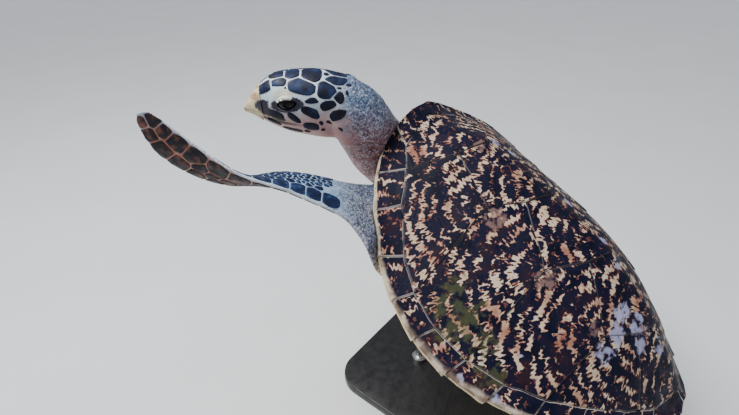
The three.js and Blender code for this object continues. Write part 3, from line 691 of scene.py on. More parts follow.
# %% The trunk between the shells
def trunk_place(share, turn):
    """The flesh fills the shell where it shows, and keeps back where the shell hides it."""
    x = 0.5 * math.cos(0.45 + share * (math.pi - 0.9))
    v = math.cos(turn) * (FLESH_REACH - 0.004)
    hidden = (1 - fade(abs(v), 0.7, 0.88)) * (1 - fade(x, 0.34, 0.4))
    if math.sin(turn) > 0:
        height = flesh_top(x, v) - 0.002 - 0.02 * hidden
    else:
        height = belly_height(x, v) + SKIN_DEPTH + 0.012 * hidden * (1 - fade(abs(v), 0.8, 0.95))
    return in_room(x, v * half_width(x), height)


flesh.append(wrapped("trunk_clay", 60, 72, trunk_place))

# %% [markdown]
# ## One skin
# The bodies are joined and remeshed, so that the neck runs into the head and the flippers into
# the trunk without a seam. Smoothing rounds the creases. The part under the shell is never seen,
# so its mesh is thinned, and the head is divided once more, because its lids and folds are small.

# %% Join, remesh and smooth
VOXEL = 0.0029
HIDDEN_SHARE = 0.34  # share of the faces that is kept out of sight
COVER_WIDTH, COVER_LENGTH = 0.86, 0.43  # the shell hides this share of its half width, this far
skin = joined(flesh, "skin")
apply_modifier(skin, "REMESH", mode="VOXEL", voxel_size=VOXEL)
apply_modifier(skin, "SMOOTH", factor=0.5, iterations=6)
print("skin", len(skin.data.polygons), "faces")


def in_sight(point):
    """Whether a place of the skin lies clear of the shell."""
    body = in_body(point)
    covered = abs(body.y) <= half_width(body.x) * COVER_WIDTH and abs(body.x) <= COVER_LENGTH
    return not covered or in_head(point).x > -0.03


def on_group(obj, weights, kind, **values):
    """A modifier on some vertices only, given as pairs of their number and weight."""
    group = obj.vertex_groups.new(name="chosen")
    for index, weight in weights:
        group.add([index], weight, "REPLACE")
    apply_modifier(obj, kind, vertex_group="chosen", **values)
    obj.vertex_groups.clear()


hidden = [(v.index, 1.0) for v in skin.data.vertices if not in_sight(v.co)]
on_group(skin, hidden, "DECIMATE", ratio=HIDDEN_SHARE, vertex_group_factor=1.0)
print("skin thinned to", len(skin.data.polygons), "faces")

# %% [markdown]
# ## Lids, mouth and folds
# The skin runs over the eyeball like a hood, with an almond-shaped opening. Round the eye the
# skin is pushed out past the ball, and inside the almond it is drawn back behind it, so the lids
# get a real edge. The mouth is a crease that carries on behind the beak, and the neck has the
# cross folds of a turtle that has stretched it out.

# %% Divide the head and the lids more finely
EYE_RADIUS = 0.016
EYE_SEATS = [Vector((0.084, side * 0.025, 0.017)) for side in (1, -1)]
EYE_OUTWARD = [Vector((0.12, side * 0.97, 0.2)).normalized() for side in (1, -1)]
LID_RADIUS = EYE_RADIUS + 0.0012


def divided(obj, chosen):
    """Subdivides the faces whose vertices are all picked by chosen()."""
    edit(obj, "VERT")
    bpy.ops.mesh.select_all(action="DESELECT")
    done()
    for vertex in obj.data.vertices:
        vertex.select = chosen(vertex.co)
    bpy.ops.object.mode_set(mode="EDIT")
    bpy.ops.mesh.subdivide(number_cuts=1, smoothness=0.7)
    done()


def by_an_eye(point, reach):
    head = in_head(point)
    return any((head - seat).length < reach for seat in EYE_SEATS)


def on_the_head(point, behind=0.0):
    head = in_head(point)
    return head.x > behind and abs(head.y) < 0.06 and abs(head.z) < 0.08


divided(skin, lambda p: on_the_head(p, -0.012))
divided(skin, lambda p: by_an_eye(p, 0.027) and abs(in_head(p).y) > 0.026)
print("skin divided to", len(skin.data.polygons), "faces")

# %% [markdown]
# A flipper's blade is thin, and remeshing leaves its edge a little ragged. So it must be known
# where on a limb a place of the skin lies: how far along, how far across, and how far towards the
# upper face. With that, each place of a blade is drawn back to the limb's even section. The same
# shares later say where the upper face's blue meets the brown of the underside.

# %% Where a place lies on a flipper
BLADE_SHARES = (0.32, 0.45)  # the arm turns into the blade between these
samples = [(name, i / 60) for name in FLIPPERS for i in range(61)]
limb_tree = KDTree(len(samples))
for number, (name, share) in enumerate(samples):
    limb_tree.insert(FLIPPERS[name]["curve"](share)[0], number)
limb_tree.balance()


def in_limb(body):
    """The flipper nearest a place, with shares along, across and towards the upper face."""
    _, number, _ = limb_tree.find(body)
    name, share = samples[number]
    limb = FLIPPERS[name]
    centre, along, trailing, upper = limb_frame(limb, share)
    share = min(max(share + (body - centre).dot(along) / limb["length"], 0), 1)
    centre, along, trailing, upper = limb_frame(limb, share)
    away = body - centre
    across = away.dot(trailing) / (smooth(limb["chord"], share) / 2)
    return name, share, across, away.dot(upper)


def smooth_blade(place, body):
    """Draws the blade of a flipper back to its even section, so that its thin edge runs clean."""
    name, share, across, raised = in_limb(body)
    limb = FLIPPERS[name]
    thick = smooth(limb["thickness"], share) / 2 * (1 - THINNED_TRAILING * (across + 1) / 2)
    near = (1 - fade(abs(across), 1.1, 1.3)) * (1 - fade(abs(raised), 0.03, 0.04))
    blade = fade(share, *BLADE_SHARES) * near
    if blade == 0 or on_the_head(place, -0.1):
        return place
    turn = math.atan2(raised / thick, across)
    even = in_room(*on_limb(limb, share, math.cos(turn), math.sin(turn)))
    return place.lerp(even, blade)


# %% The forms of the lids, the mouth and the folds
ALMOND = (0.0145, 0.0082)  # half length and half height of the opening
MOUTH_FRONT, MOUTH_SLOPE = -0.005, math.tan(math.radians(6))
MOUTH_END = 0.066  # forward of the crown, where the crease dies out
MOUTH_CREASE = 0.0022  # depth and half height of the crease
LID_REACH = 0.034
LID_CREASE = 0.0009
BALL_UNDER_EDGE, BALL_UNDER_SKIN = 0.0152, 0.0132  # inside the almond, behind the eyeball


def eye_axes(side):
    """The eye's own axes: along the opening, up across it, and outward."""
    out = EYE_OUTWARD[side]
    along = (Vector((1, 0, -0.08)) - out * out.dot(Vector((1, 0, -0.08)))).normalized()
    across = along.cross(out) if side else out.cross(along)
    return along, across if across.z > 0 else -across, out


EYE_AXES = [eye_axes(0), eye_axes(1)]


def sculpt_lid(head):
    """The hood over an eye, its folds, and the almond-shaped opening in it."""
    for seat, (along, across, out) in zip(EYE_SEATS, EYE_AXES):
        away = head - seat
        distance = away.length
        if distance > LID_REACH or away.dot(out) < 0.002:
            continue
        a, b = away.dot(along), away.dot(across)
        opening = (abs(a) / ALMOND[0]) ** 1.7 + (abs(b) / ALMOND[1]) ** 2
        hood = 1 - fade(opening, 3.2, 7.5)
        crease = math.sin(opening * 4.6 + 1.5 * a / ALMOND[0]) * fade(opening, 1.3, 2.0)
        crease *= 1.0 if b > 0 else 0.5
        puffed = LID_RADIUS + LID_CREASE * (1 - fade(opening, 1, 1.8) + crease)
        if 0.8 < opening < 1.2:  # the lid's edge follows the almond exactly
            a, b = a * opening**-0.52, b * opening**-0.52
            radius = BALL_UNDER_EDGE if opening < 1 else puffed
            outward = math.sqrt(max(radius**2 - a * a - b * b, 0))
            return seat + along * a + across * b + out * outward
        if opening < 1:
            return seat + away * (BALL_UNDER_SKIN / distance)
        if distance < puffed:
            away *= 1 + (puffed / distance - 1) * hood
        return seat + away
    return head


def mouth_height(forward):
    return MOUTH_FRONT - (HEAD_LENGTH - forward) * MOUTH_SLOPE


def sculpt_mouth(head, inward):
    depth = MOUTH_CREASE * fade(head.x, MOUTH_END - 0.012, MOUTH_END + 0.02)
    near = abs(head.z - mouth_height(head.x)) / MOUTH_CREASE
    if near < 1 and depth > 0:
        head = head + inward * depth * (1 - near * near) ** 2
    return head


def folds(place, head, body):
    """Cross folds of the neck and the wrinkled web of the shoulder, as a height in metres."""
    loose = (1 - fade(head.x, -0.045, 0.0)) * fade(body.x, 0.36, 0.42)
    if abs(body.y) > 0.33 or loose == 0:
        return 0
    around = noise.noise(Vector((head.x * 95, head.y * 17, head.z * 17)))
    broad = noise.noise(place * 22)
    return (0.0016 * around - 0.0010 * abs(around) + 0.0014 * broad) * loose


UNDER_PLATES, HIDDEN_SINK = 0.0025, 0.012  # room for the skin under the horn, and out of sight
WEB_REACH, WEB_SHARE = 0.33, 1.25  # the web of the shoulder passes under the rim within these


def between_the_shells(place):
    """Keeps a place of the skin below the plates of the upper shell and above the lower shell."""
    body = in_body(place)
    v = abs(share_across(body.x, body.y))
    if abs(body.x) < 0.495 and v < 1.02:
        deeper = UNDER_PLATES + HIDDEN_SINK * (1 - fade(v, 0.6, 0.85))
        body.z = min(body.z, dome_height(body.x, v) - plate_thickness(v) - deeper)
    elif abs(body.x) < WEB_REACH and v < WEB_SHARE:
        under_rim = dome_height(body.x, 1) - RIM_THICKNESS - UNDER_PLATES
        free = max(fade(body.x, 0.235, 0.32), fade(v, 1.12, WEB_SHARE))
        body.z = min(body.z, under_rim + (body.z - under_rim) * free)
    if abs(body.x + 0.0075) < 0.39 and v < smooth(PLASTRON_REACH, body.x) * FLESH_REACH - 0.01:
        body.z = max(body.z, belly_height(body.x, v) + 0.001)
    return in_room(*body)


# %% Sculpt the skin
skin.data.update()
normals = [v.normal.copy() for v in skin.data.vertices]
on_blades = []
for vertex, normal in zip(skin.data.vertices, normals):
    place, head, body = vertex.co.copy(), in_head(vertex.co), in_body(vertex.co)
    if on_the_head(place, 0.02):
        moved = sculpt_mouth(head, head_axes @ -normal)
        place = on_head(*sculpt_lid(moved))
    place = place + normal * folds(vertex.co, head, body)
    even = smooth_blade(place, body)
    if even is not place:
        on_blades.append((vertex.index, 1.0))
    vertex.co = between_the_shells(even)
skin.data.update()
on_group(skin, on_blades, "SMOOTH", factor=0.5, iterations=6)

# %% Ease the right armpit
# The right arm's root ends square against the trunk. It is worn round, as the web there is loose
# skin.
ARMPIT, ARMPIT_REACH = Vector((0.405, -0.172, -0.055)), 0.085


def armpit_share(place):
    """1 in the middle of the armpit, and 0 away from it."""
    away = (in_body(place) - ARMPIT).length
    return 1 - fade(away, 0.45 * ARMPIT_REACH, ARMPIT_REACH)


shares = [(v.index, armpit_share(v.co)) for v in skin.data.vertices]
loosened = [(index, share) for index, share in shares if share > 0]
on_group(skin, loosened, "SMOOTH", factor=0.5, iterations=120)
for index, _ in loosened:
    skin.data.vertices[index].co = between_the_shells(skin.data.vertices[index].co)
skin.data.update()
use_only(skin)
bpy.ops.object.shade_smooth()
print(len(loosened), "places eased in the armpit; lids", LID_RADIUS, "m from the eye's middle")

# %% [markdown]
# ## The beak
# The beak is horn over bone, in an upper and a lower sheath that meet along the mouth line. The
# head's own sections give its shape. A plane along the mouth cuts the two sheaths apart, and a
# small bevel dulls their edges.

# %% Upper and lower sheath
LOWER_BEAK_LINE = HEAD_LENGTH - 0.027
BEHIND_LINE = 0.0002  # the horn starts this far ahead of the skin's border
HOOK = 0.0016  # how far the upper tip hooks down
NOSTRIL_DEPTH = 0.0022
mouth_normal_up = (head_axes.transposed() @ Vector((-MOUTH_SLOPE, 0, 1))).normalized()


def sheath(name, line, lower):
    def place(share, turn):
        along = (line + share * (HEAD_LENGTH - line)) / HEAD_LENGTH
        point = head_section(along, turn)
        hook = 0 if lower else fade(point.x, HEAD_LENGTH - 0.012, HEAD_LENGTH) * HOOK
        return on_head(point.x + hook * 0.4, point.y, point.z - hook)

    beak = wrapped(name, 64, 64, place)
    height = mouth_height(HEAD_LENGTH) - (0.0005 if lower else 0)
    edit(beak)
    bpy.ops.mesh.bisect(
        plane_co=on_head(HEAD_LENGTH, 0, height), plane_no=mouth_normal_up,
        use_fill=True, clear_outer=lower, clear_inner=not lower,
    )
    done()
    apply_modifier(beak, "BEVEL", width=0.0006, segments=2, limit_method="ANGLE", angle_limit=0.7)
    shade_by_angle(beak, 40)
    return beak


beak_upper = sheath("beak_upper_sheath", BEAK_LINE + BEHIND_LINE, lower=False)
beak_lower = sheath("beak_lower_sheath", LOWER_BEAK_LINE + BEHIND_LINE, lower=True)
NOSTRILS = [head_section(0.9, math.radians(turn)) for turn in (62, 118)]


def nostril(head):
    """1 inside a nostril, and 0 a little way off."""
    return 1 - fade(min((head - pit).length for pit in NOSTRILS), 0.0008, 0.0021)


for vertex in beak_upper.data.vertices:
    head = in_head(vertex.co)
    sunk = NOSTRIL_DEPTH * nostril(head)
    vertex.co = on_head(head.x, head.y * (1 - 0.3 * sunk / 0.007), head.z - sunk)
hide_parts("beak_upper")
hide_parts("beak_lower")
print("beak", len(beak_upper.data.polygons) + len(beak_lower.data.polygons), "faces")

# %% [markdown]
# ## Eyes
# Each eye is a ball with a low clear bulge at the front. A UV map laid round the way it looks
# lets the material paint an iris and a pupil.

# %% Eyeballs
CORNEA_BULGE = 0.0004


def eyeball(name, side):
    middle = on_head(*EYE_SEATS[side])
    out = head_axes.transposed() @ EYE_OUTWARD[side]
    bpy.ops.mesh.primitive_uv_sphere_add(segments=48, ring_count=32, radius=1)
    ball = bpy.context.object
    ball.name = ball.data.name = name
    turn = out.to_track_quat("Z", "Y")
    iris = ball.data.uv_layers.new(name="Iris")
    directions = [v.co.normalized() for v in ball.data.vertices]
    for loop in ball.data.loops:
        iris.data[loop.index].uv = directions[loop.vertex_index].xy
    for vertex, direction in zip(ball.data.vertices, directions):
        bulge = CORNEA_BULGE * fade(direction.z, 0.86, 1.0)
        vertex.co = middle + turn @ (direction * (EYE_RADIUS - 0.0002 + bulge))
    bpy.ops.object.shade_smooth()
    return ball


eyes = [eyeball("eyeball_left", 0), eyeball("eyeball_right", 1)]
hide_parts("eye_left")
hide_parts("eye_right")
print("eyes", round(EYE_RADIUS * 2000), "mm across")

# %% [markdown]
# ## Scales
# The head, and the flippers above all, carry scales: flat islands of dark horn with pale skin
# between them. Each scale is an oval, trimmed where it would touch its neighbours, rounded, and
# laid on the skin by a ray. It is a thin closed tile with a turned-over edge, so that light
# catches it. All scales of one region are one mesh.

# %% Trim the ovals against each other
SCALE_CORNERS, SCALE_SQUARENESS = 14, 0.75
NEIGHBOURS = 0.09  # scales further apart than this never touch


def oval(scale):
    u, v, long_half, short_half, tilt = scale[:5]
    c, s = math.cos(math.radians(tilt)), math.sin(math.radians(tilt))
    ring = []
    for i in range(SCALE_CORNERS):
        turn = 2 * math.pi * i / SCALE_CORNERS
        a = long_half * squared(math.cos(turn), SCALE_SQUARENESS)
        b = short_half * squared(math.sin(turn), SCALE_SQUARENESS)
        ring.append(Vector((u + a * c - b * s, v + a * s + b * c)))
    return ring


def reach(scale, direction):
    """How far an oval reaches from its middle in a direction."""
    tilt = math.radians(scale[4])
    a = direction.x * math.cos(tilt) + direction.y * math.sin(tilt)
    b = direction.y * math.cos(tilt) - direction.x * math.sin(tilt)
    return 1 / math.sqrt((a / scale[2]) ** 2 + (b / scale[3]) ** 2)


def trimmed(points, on_line, normal):
    """The part of a polygon on the near side of a line."""
    out = []
    for a, b in zip(points, points[1:] + points[:1]):
        da, db = (a - on_line).dot(normal), (b - on_line).dot(normal)
        if da <= 0:
            out.append(a)
        if da * db < 0:
            out.append(a.lerp(b, da / (da - db)))
    return out


def rounded(points):
    out = []
    for a, b in zip(points, points[1:] + points[:1]):
        out += [a.lerp(b, 0.17), a.lerp(b, 0.83)]
    return out


def scale_outlines(scales, seam):
    outlines = []
    for i, scale in enumerate(scales):
        middle = Vector(scale[:2])
        ring = oval(scale)
        for k, other in enumerate(scales):
            between = Vector(other[:2]) - middle
            if k == i or between.length > NEIGHBOURS or between.length < 1e-6:
                continue
            way = between.normalized()
            mine, theirs = reach(scale, way), reach(other, way)
            border = between.length * mine / (mine + theirs) - seam / 2
            ring = trimmed(ring, middle + way * border, way)
        if len(ring) > 3:
            outlines.append(rounded(ring))
    return outlines


# %% Lay the scales on the skin
SCALE_THICKNESS, SCALE_EDGE = 0.0009, 0.0007
RAY_REACH = 0.08
SLANT = -0.45  # a ray that strikes the skin flatter than this has passed the edge
CHART_RADIUS = 0.0014  # radius of a scale's patch on the bake map
skin_tree = BVHTree.FromObject(skin, bpy.context.evaluated_depsgraph_get())


def skin_under(place, point):
    """Where the skin lies under a point of a scale, or nothing where there is none to lie on."""
    start, inward = place(*point)
    hit, normal, _, _ = skin_tree.ray_cast(start, inward, RAY_REACH)
    if hit is None or normal.dot(inward) > SLANT:
        return None, None
    return hit, normal


def onto_skin(place, point, middle):
    """The same, with the point drawn towards its scale's middle till there is skin."""
    for step in range(9):
        hit, normal = skin_under(place, point.lerp(middle, step / 8))
        if hit is not None:
            break
    return hit, normal


def smooth_outline(place, outline, middle):
    """The outline, drawn in wherever it would hang over the edge of the limb."""
    kept = []
    for point in outline:
        step = 0
        while step < 8 and skin_under(place, point.lerp(middle, step / 10))[0] is None:
            step += 1
        kept.append(point.lerp(middle, step / 10))
    return kept


def rings_of(radius):
    """Rings of a scale from its foot to its flat top: share of the radius, lift, wear."""
    return (
        (1.0, -0.6, 1), (1.0, 0.45, 1), (max(1 - SCALE_EDGE / radius, 0.4), 1.0, 0.6),
        (max(1 - 3.2 * SCALE_EDGE / radius, 0.35), 1.12, 0), (0.3, 1.2, 0),
    )


def lay_scales(name, outlines, place, chart, shade_of):
    """One mesh of tiles: place(u, v) gives a point over the skin and the way in."""
    mesh = bmesh.new()
    bake = mesh.loops.layers.uv.new("OFBake")
    tone = mesh.verts.layers.float.new("tone")
    worn = mesh.verts.layers.float.new("edge")
    random.seed(len(outlines))
    for outline in outlines:
        middle = sum(outline, Vector((0, 0))) / len(outline)
        radius = sum((p - middle).length for p in outline) / len(outline)
        if skin_under(place, middle)[0] is None:
            continue
        outline = smooth_outline(place, outline, middle)
        # shade_of gives each scale its tone: on the head a painted light on the crown, on the
        # flippers a change along the blade.
        shade = shade_of(*middle) * 0.7 + random.random() * 0.3
        flat = {}

        def add(point, lift, rim):
            hit, normal = onto_skin(place, point, middle)
            vertex = mesh.verts.new(hit + normal * (SCALE_THICKNESS * lift))
            vertex[tone], vertex[worn] = shade, rim
            flat[vertex] = chart + middle + (point - middle) * (CHART_RADIUS / radius)
            return vertex

        rings = [
            [add(middle + (p - middle) * share, lift, rim) for p in outline]
            for share, lift, rim in rings_of(radius)
        ]
        top, base = add(middle, 1.22, 0), add(middle, -0.8, 0)
        count, faces = len(outline), []
        for i in range(count):
            j = (i + 1) % count
            for low, high in zip(rings, rings[1:]):
                faces.append(mesh.faces.new((low[i], low[j], high[j], high[i])))
            faces.append(mesh.faces.new((rings[-1][i], rings[-1][j], top)))
            faces.append(mesh.faces.new((rings[0][j], rings[0][i], base)))
        for face in faces:
            for loop in face.loops:
                loop[bake].uv = flat[loop.vert]
    bmesh.ops.recalc_face_normals(mesh, faces=mesh.faces)
    scales = built(name, mesh)
    shade_by_angle(scales, 60)
    return scales


# %% The scales of the head
ROUND_RADIUS = 0.045  # turns round the head are counted along this radius
HEAD_SEAM = 0.0024
HEAD_SCALES = (  # forward of the crown and round from the left side: mm, degrees; half sizes; tilt
    (117, 64, 14, 14.5, 0), (93, 66, 15, 8.5, -3), (61, 56, 25, 14, 14), (26.3, 49, 15, 16, 0),
    (13, 77.5, 19, 12, -2), (8.8, 32.6, 7.4, 11.5, 0), (8.2, 55.5, 4.2, 2.6, 6),
    (-3, 42, 2.2, 7, 0), (48.2, 27, 10.6, 4.6, 0), (25.3, 17.4, 12.4, 7.4, -20),
    (15, 0.8, 15.6, 5.0, -13), (52, 7, 14.4, 6.2, 21), (77.5, -2, 10.5, 4.2, 31),
    (54.5, -17, 12, 6.6, 5), (39, -10.2, 3.4, 2.8, 20), (26, -9.2, 5.4, 1.9, 8),
    (38, -23.6, 3.8, 2.3, -10), (104, 0.7, 12, 5.4, 16), (84, 52.5, 2.4, 2.0, 0),
    (-6, 66, 4.5, 3.5, 10), (85, -33, 17.5, 4.4, 0), (110, -22, 11, 4.4, 12),
    (62, -31, 5, 3, 0), (11, -17, 3.4, 1.8, 20),
)
MIDLINE_SCALES = (
    (97.5, 90, 12.5, 9.5, 0), (74.5, 90, 12.5, 13, 0), (46, 90, 17, 22, 0), (23.5, 90, 7, 3.4, 0),
)
head_seeds = []
for forward, turn, long_half, short_half, tilt in HEAD_SCALES + MIDLINE_SCALES:
    v = math.radians(turn) * ROUND_RADIUS
    row = (forward / 1000, v, long_half / 1000, short_half / 1000, tilt)
    head_seeds.append(row)
    if turn != 90:
        head_seeds.append((row[0], math.pi * ROUND_RADIUS - v, row[2], row[3], -tilt))


def over_head(u, v):
    near = head_section(u / HEAD_LENGTH, v / ROUND_RADIUS, -0.02)
    core = head_section(u / HEAD_LENGTH, v / ROUND_RADIUS, 0.012)
    start, goal = on_head(*near), on_head(*core)
    return start, (goal - start).normalized()


def lit_crown_share(_, v):
    """0 on the cheeks, where the scales are nearly black, and 1 on the crown, whose scales are
    painted lighter and bluer: painted light from above.
    """
    return fade(math.sin(v / ROUND_RADIUS), 0.45, 0.8)


head_outlines = scale_outlines(head_seeds, HEAD_SEAM)
HEAD_CHART = Vector((0.05, 0.75))
head_scales = lay_scales("head_scales", head_outlines, over_head, HEAD_CHART, lit_crown_share)
print(len(head_seeds), "scales on the head")

# %% [markdown]
# The flippers carry their biggest scales in a row along the trailing edge and smaller ones along
# the leading edge, where the claws stand. The rest is filled with scales of a size that changes
# over the blade, set down one by one wherever there is still room. Towards the shoulder the skin
# stays soft and has none.

# %% The scales of the flippers
SCALE_SEAM = 0.002
TRAILING_HEM, LEADING_HEM = 0.0028, 0.001  # bare skin kept along the edges
FRONT_START, HIND_START = 0.37, 0.42  # share of a flipper where its scales begin
CROWDING = 0.82  # share of its radius that a scale keeps to itself
TRIES = 9000


def size_on_front(share, across):
    """Radius in metres of a scale at a place on a front flipper."""
    middle = 0.0042 + 0.0052 * fade(share, 0.5, 0.72)
    trailing = 0.0084 * fade(across, 0.1, 0.7) * (1 - 0.7 * fade(share, 0.62, 0.95))
    leading = 0.0034 * fade(-across, 0.45, 0.8)
    return (middle + max(trailing, leading)) * (1 - 0.3 * fade(share, 0.82, 1.0))


def size_on_hind(_, across):
    return 0.0052 + 0.0034 * fade(abs(across), 0.3, 0.85)


def sow(limb, first_share, size, seed):
    """Seeds for the scales of one face: along and across in metres from the middle of the root."""
    random.seed(seed)
    length = limb["length"] * SHELL_LENGTH
    seeds = []

    def room_for(u, v, radius):
        return all(
            (u - s[0]) ** 2 + (v - s[1]) ** 2 > (CROWDING * radius + CROWDING * s[5]) ** 2
            for s in seeds
        )

    def half_chord(share):
        return (smooth(limb["chord"], share) / 2 - SKIN_DEPTH) * SHELL_LENGTH

    for side, inset in ((1, TRAILING_HEM), (-1, LEADING_HEM)):
        u = first_share * length
        while u < 0.96 * length:
            radius = size(u / length, side)
            v = side * (half_chord(u / length) - radius - inset)
            if room_for(u, v, radius * 0.8):
                widening = half_chord(u / length + 0.02) - half_chord(u / length - 0.02)
                tilt = math.degrees(math.atan2(widening, 0.04 * length)) * side
                seeds.append((u, v, radius * 1.25, radius * 1.0, tilt, radius))
            u += radius * 1.95
    for _ in range(TRIES):
        u = random.uniform(first_share, 0.97) * length
        reach_across = half_chord(u / length)
        v = random.uniform(-1, 1) * reach_across
        across = v / reach_across
        ragged = first_share + 0.03 * math.sin(across * 5 + seed) + 0.05 * across
        radius = size(u / length, across) * random.uniform(0.86, 1.12)
        hem = TRAILING_HEM if v > 0 else 0
        if abs(v) + radius * 0.8 > reach_across - hem or u / length < ragged:
            continue
        if room_for(u, v, radius):
            seeds.append((u, v, radius * 1.55, radius * 1.3, random.uniform(-25, 25), radius))
    return seeds, length, half_chord


def over_limb(limb, length, half_chord, face):
    def place(u, v):
        share = min(max(u / length, 0.0), 0.999)
        across = min(max(v / half_chord(share), -0.985), 0.985)
        centre, _, trailing, upper = limb_frame(limb, share)
        flat = centre + trailing * across * half_chord(share) / SHELL_LENGTH
        start = in_room(*(flat + upper * face * 0.06))
        goal = in_room(*flat)
        return start, (goal - start).normalized()

    return place


flipper_scales = []
for number, (name, limb) in enumerate(FLIPPERS.items()):
    front = name.startswith("front")
    first, size = (FRONT_START, size_on_front) if front else (HIND_START, size_on_hind)
    for face, word in ((1, "upper"), (-1, "lower")):
        seeds, length, half_chord = sow(limb, first, size, number * 7 + face)
        outlines = scale_outlines(seeds, SCALE_SEAM)
        place = over_limb(limb, length, half_chord, face)
        chart = Vector((0.02, 0.07 + 0.08 * len(flipper_scales)))
        title = f"{name}_{word}_scales"
        tiles = lay_scales(title, outlines, place, chart, lambda u, v: u / length)
        flipper_scales.append(tiles)
        print(tiles.name, len(outlines), "scales")

# %% [markdown]
# ## Claws
# Each flipper keeps two claws on its leading edge, the first at the wrist and the larger. A claw
# is a short curved cone of horn.

# %% The claws
CLAW_LENGTH, CLAW_RADIUS = 0.015, 0.0048
CLAW_SHARES = {"front": (0.56, 0.66), "hind": (0.74, 0.86)}


def claw(limb, share, name, size=1.0):
    centre, along, trailing, _ = limb_frame(limb, share)
    seat = centre - trailing * smooth(limb["chord"], share) * 0.44
    way = (along * 0.9 - trailing).normalized()
    bend = (along - way * along.dot(way)).normalized()
    side = way.cross(bend)

    def place(part, turn):
        radius = CLAW_RADIUS * size * (1 - part**1.6) ** 0.8
        middle = way * part * CLAW_LENGTH * size * 0.94 + bend * 0.0028 * size * part * part
        middle += (bend * math.cos(turn) + side * math.sin(turn) * 0.8) * radius
        return in_room(*seat) + BODY_AXES @ middle

    horn = wrapped(name, 18, 20, place)
    use_only(horn)
    bpy.ops.object.shade_smooth()
    return horn


claws = []
for name, limb in FLIPPERS.items():
    shares = CLAW_SHARES[name.split("_")[0]]
    title = name.replace("flipper", "claw")
    first = claw(limb, shares[0], title + "_horn")
    pair = joined([first, claw(limb, shares[1], title + "_second", 0.8)], title + "_horn")
    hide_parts(title)
    claws.append(pair)
print(len(claws), "pairs of claws")

# %% [markdown]
# ## The shell underneath
# The lower shell is a flat floor of six pairs of plates. They are made like the plates above,
# only laid on the belly's curve and facing down, and joined into one piece.

# %% The plastron
PLASTRON_THICKNESS = 0.007 / SHELL_LENGTH
BELLY_SEAMS = (0.385, 0.325, 0.225, 0.09, -0.07, -0.225, -0.4)
BELLY_GROOVE = 0.0006  # half the groove along the middle


def plastron_edge(x, inset=0.0):
    return Vector((x, smooth(PLASTRON_REACH, x) * FLESH_REACH * half_width(x) - inset))


def belly_face(x, v):
    return belly_height(x, v) - PLASTRON_THICKNESS


def belly_plate(k, side):
    front, rear = BELLY_SEAMS[k], BELLY_SEAMS[k + 1]
    points = [Vector((front, BELLY_GROOVE))]
    points += [plastron_edge(front + (rear - front) * i / 5, 0.001) for i in range(6)]
    points.append(Vector((rear, BELLY_GROOVE)))
    outline = points if side > 0 else mirrored(points)
    tile = flat_tile(f"belly_{k}_{side}", outline, waver=0.0, count=60)
    areola = Vector((rear + 0.03, side * plastron_edge((front + rear) / 2).y * 0.8))
    lay_on_dome(tile, areola, lift=0, surface=belly_face, thickness=lambda _: -PLASTRON_THICKNESS)
    return tile


belly = [belly_plate(k, side) for k in range(6) for side in (1, -1)]
lower_shell = joined(belly, "lower_shell")
edit(lower_shell)
bpy.ops.mesh.normals_make_consistent(inside=False)
done()
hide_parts("plastron")
print("lower shell of", len(belly), "plates")

# %% [markdown]
# ## The stand
# The model rests on two turned steel rods in a rounded black base. Each rod is a profile spun
# round its axis; its cup is cut to the belly by the same curve.

# %% Base and rods
BASE_SIZE, BASE_CORNER = (0.320, 0.520, 0.020), 0.060
bpy.ops.mesh.primitive_cube_add(size=1, location=(0, 0, BASE_SIZE[2] / 2))
base = bpy.context.object
base.name = base.data.name = "display_base"
base.scale = BASE_SIZE
bpy.ops.object.transform_apply(location=True, rotation=False, scale=True)
edit(base, "EDGE")
bpy.ops.mesh.select_all(action="DESELECT")
done()
for edge in base.data.edges:
    a, b = (base.data.vertices[i].co for i in edge.vertices)
    edge.select = abs(a.z - b.z) > 0.01
bpy.ops.object.mode_set(mode="EDIT")
bpy.ops.mesh.bevel(offset=BASE_CORNER, segments=16)
done()
apply_modifier(base, "BEVEL", width=0.002, segments=3, limit_method="ANGLE", angle_limit=0.8)
shade_by_angle(base, 35)
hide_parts("stand_base")
print("base", BASE_SIZE)

# %% The two rods
ROD_PLACES = {"stand_rod_front": -0.130, "stand_rod_rear": 0.130}
ROD_RADIUS, COLLAR_RADIUS, CUP_RADIUS = 0.008, 0.017, 0.021
SEAT_GAP = 0.0003


def under_belly(room_x, room_y):
    """Height of the lower shell above the floor at a place in the room."""
    y = room_x / SHELL_LENGTH
    ahead = (room_y - SHELL_CENTRE.y) / SHELL_LENGTH
    x = -ahead
    for _ in range(12):
        x = (SIN_UP * belly_face(x, share_across(x, y)) - ahead) / COS_UP
    return in_room(x, y, belly_face(x, share_across(x, y))).z


def rod_profile(top):
    """Half a rod from foot to cup: collar, thin rod, cone, cup, and spare to cut the seat from."""
    foot = BASE_SIZE[2] + SEAT_GAP
    collar, chamfer = foot + 0.009, foot + 0.012
    profile = [(0.0005, foot), (COLLAR_RADIUS, foot), (COLLAR_RADIUS, collar), (0.014, chamfer)]
    profile += [(ROD_RADIUS, foot + 0.013), (ROD_RADIUS, top - 0.034), (CUP_RADIUS, top - 0.017)]
    profile += [(CUP_RADIUS, top - 0.017 + 0.004 * i) for i in range(1, 9)]
    return profile + [(CUP_RADIUS * (1 - i / 10), top + 0.02) for i in range(1, 10)]


